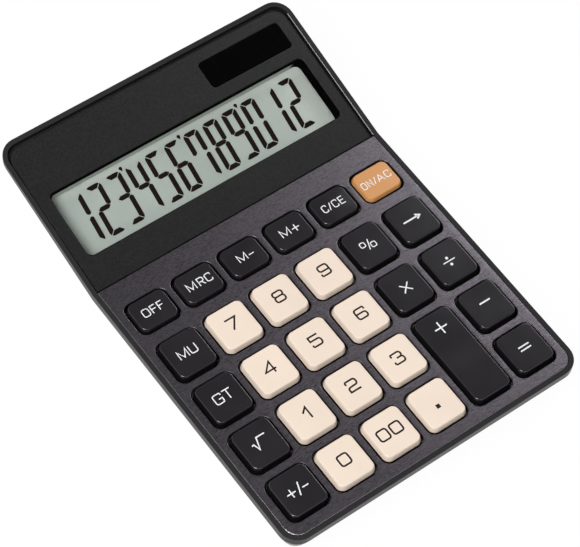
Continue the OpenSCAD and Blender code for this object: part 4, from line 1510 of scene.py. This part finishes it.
@dataclass
class Housing:
    """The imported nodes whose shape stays: each gets its finish, and some get softened edges."""

    segments: int = 3
    least_turn: float = math.radians(38)

    def dress(self, node: str, finish: Finish, soften: float) -> None:
        """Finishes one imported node.

        Args:
            node: The node.
            finish: Its finish.
            soften: The radius of its edges.
        """
        part = frame["nodes"][node]
        material = finish.material()
        if not part.material_slots:
            part.data.materials.append(material)
        for place in part.material_slots:
            place.material = material
        if soften:
            bevel = part.modifiers.new("softened_edges", "BEVEL")
            bevel.width = soften
            bevel.segments = self.segments
            bevel.limit_method = "ANGLE"
            bevel.angle_limit = self.least_turn
            bevel.harden_normals = True
            bevel.use_clamp_overlap = True
        LOG.info("%s: %s", node, finish.name.lower())

    def build(self) -> None:
        """Finishes every kept node."""
        for node, (finish, soften) in DRESSINGS.items():
            self.dress(node, finish, soften)


# --------------------------------------------------------------------- studio

WHITE_LIGHT: Colour = (1.0, 1.0, 1.0)


@dataclass(frozen=True)
class Softbox:
    """A square lamp that points at the calculator."""

    name: str
    place: Point
    size: float
    watts: float

    def build(self) -> None:
        """Adds the lamp."""
        lamp = bpy.data.lights.new(self.name, "AREA")
        lamp.shape = "SQUARE"
        lamp.size = self.size
        lamp.energy = self.watts
        holder = show(self.name, lamp)
        holder.location = self.place
        holder.rotation_euler = (-Vector(self.place)).to_track_quat("-Z", "Y").to_euler()


@dataclass
class Studio:
    """The white table, the even surroundings, the lamps and the camera."""

    lamps: tuple[Softbox, ...] = (
        Softbox("left_softbox", (-0.62, -0.2, 0.85), 0.5, 10.8),
        Softbox("right_softbox", (0.66, 0.33, 0.68), 0.3, 2.6),
        Softbox("front_softbox", (-0.1, -0.9, 0.6), 0.5, 1.0),
    )
    camera_place: Point = (-0.30068, -0.32946, 0.71367)
    camera_aim: Point = (-0.000184, -0.003234, 0.0146)
    camera_roll: float = math.radians(7.476)
    lens: float = 150.888
    sensor: float = 36.0
    nearest: float = 0.01
    floor_half: float = 3.0
    floor_drop: float = 0.0002
    floor_colour: Colour = (0.93, 0.93, 0.93)
    floor_glow: float = 0.97
    ambient: float = 0.75
    ceiling: float = 0.12
    dimming: Pair = (0.1, 0.75)
    horizon: Pair = (0.0, 0.3)

    def build_floor(self) -> None:
        """Adds the table top, white to the camera but with a soft shadow."""
        mesh = bmesh.new()
        half, level = self.floor_half, -self.floor_drop
        corners = ((-half, -half), (half, -half), (half, half), (-half, half))
        mesh.faces.new([mesh.verts.new((x, y, level)) for x, y in corners])
        data = bpy.data.meshes.new("table_top")
        mesh.to_mesh(data)
        mesh.free()
        shader = Shader("table_white")
        shader.finish(Base_Color=self.floor_colour, Roughness=0.9, Specular_IOR_Level=0.1)
        glow = shader.add("ShaderNodeEmission", {}, {"Color": WHITE_LIGHT, "Strength": 1.0})
        seen, glossy = shader.backdrop()
        share = (seen + glossy) * self.floor_glow
        ends = {0: share, 1: shader.surface.outputs[0], 2: glow.outputs[0]}
        shader.feed(shader.output.inputs["Surface"], shader.add("ShaderNodeMixShader", {}, ends).outputs[0])
        data.materials.append(shader.material)
        floor = show("table_top", data)

    def build_world(self) -> None:
        """Adds surroundings: pale round the horizon, dim overhead, white to the camera."""
        world = bpy.data.worlds.new("studio")
        bpy.context.scene.world = world
        sky = Nodes(world)
        height = sky.axes(sky.add("ShaderNodeTexCoord").outputs["Generated"])[2]
        seen, glossy = sky.backdrop()
        strength = height.ramp(*self.dimming, self.ambient, self.ceiling)
        even = sky.add("ShaderNodeBackground", {}, {"Strength": strength})
        white = sky.add("ShaderNodeBackground", {}, {"Color": WHITE_LIGHT})
        share = seen + glossy * height.ramp(*self.horizon, 1.0, 0.0)
        blend = sky.add("ShaderNodeMixShader", {}, {0: share, 1: even.outputs[0], 2: white.outputs[0]})
        sky.add("ShaderNodeOutputWorld", {}, {"Surface": blend.outputs[0]})

    def build_camera(self) -> None:
        """Adds the camera."""
        data = bpy.data.cameras.new("camera")
        data.lens = self.lens
        data.sensor_width = self.sensor
        data.sensor_fit = "HORIZONTAL"
        data.clip_start = self.nearest
        camera = show("camera", data)
        aim = Vector(self.camera_aim) - Vector(self.camera_place)
        turn = aim.to_track_quat("-Z", "Y").to_matrix() @ Matrix.Rotation(self.camera_roll, 3, "Z")
        camera.matrix_world = Matrix.Translation(self.camera_place) @ turn.to_4x4()
        bpy.context.scene.camera = camera

    def build(self) -> None:
        """Builds the whole studio."""
        bpy.context.scene.view_settings.view_transform = "Standard"
        self.build_floor()
        self.build_world()
        for lamp in self.lamps:
            lamp.build()
        self.build_camera()


def write_sizes() -> None:
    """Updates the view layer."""
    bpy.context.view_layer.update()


def main() -> None:
    """Builds the calculator, then the studio."""
    logging.basicConfig(level=logging.INFO, format="%(name)s: %(message)s")
    layout = Layout()
    Housing().build()
    DeckPlate(layout).build()
    Keypad().build()
    DisplayUnit(layout).build()
    Studio().build()
    write_sizes()


if __name__ == "__main__":
    main()
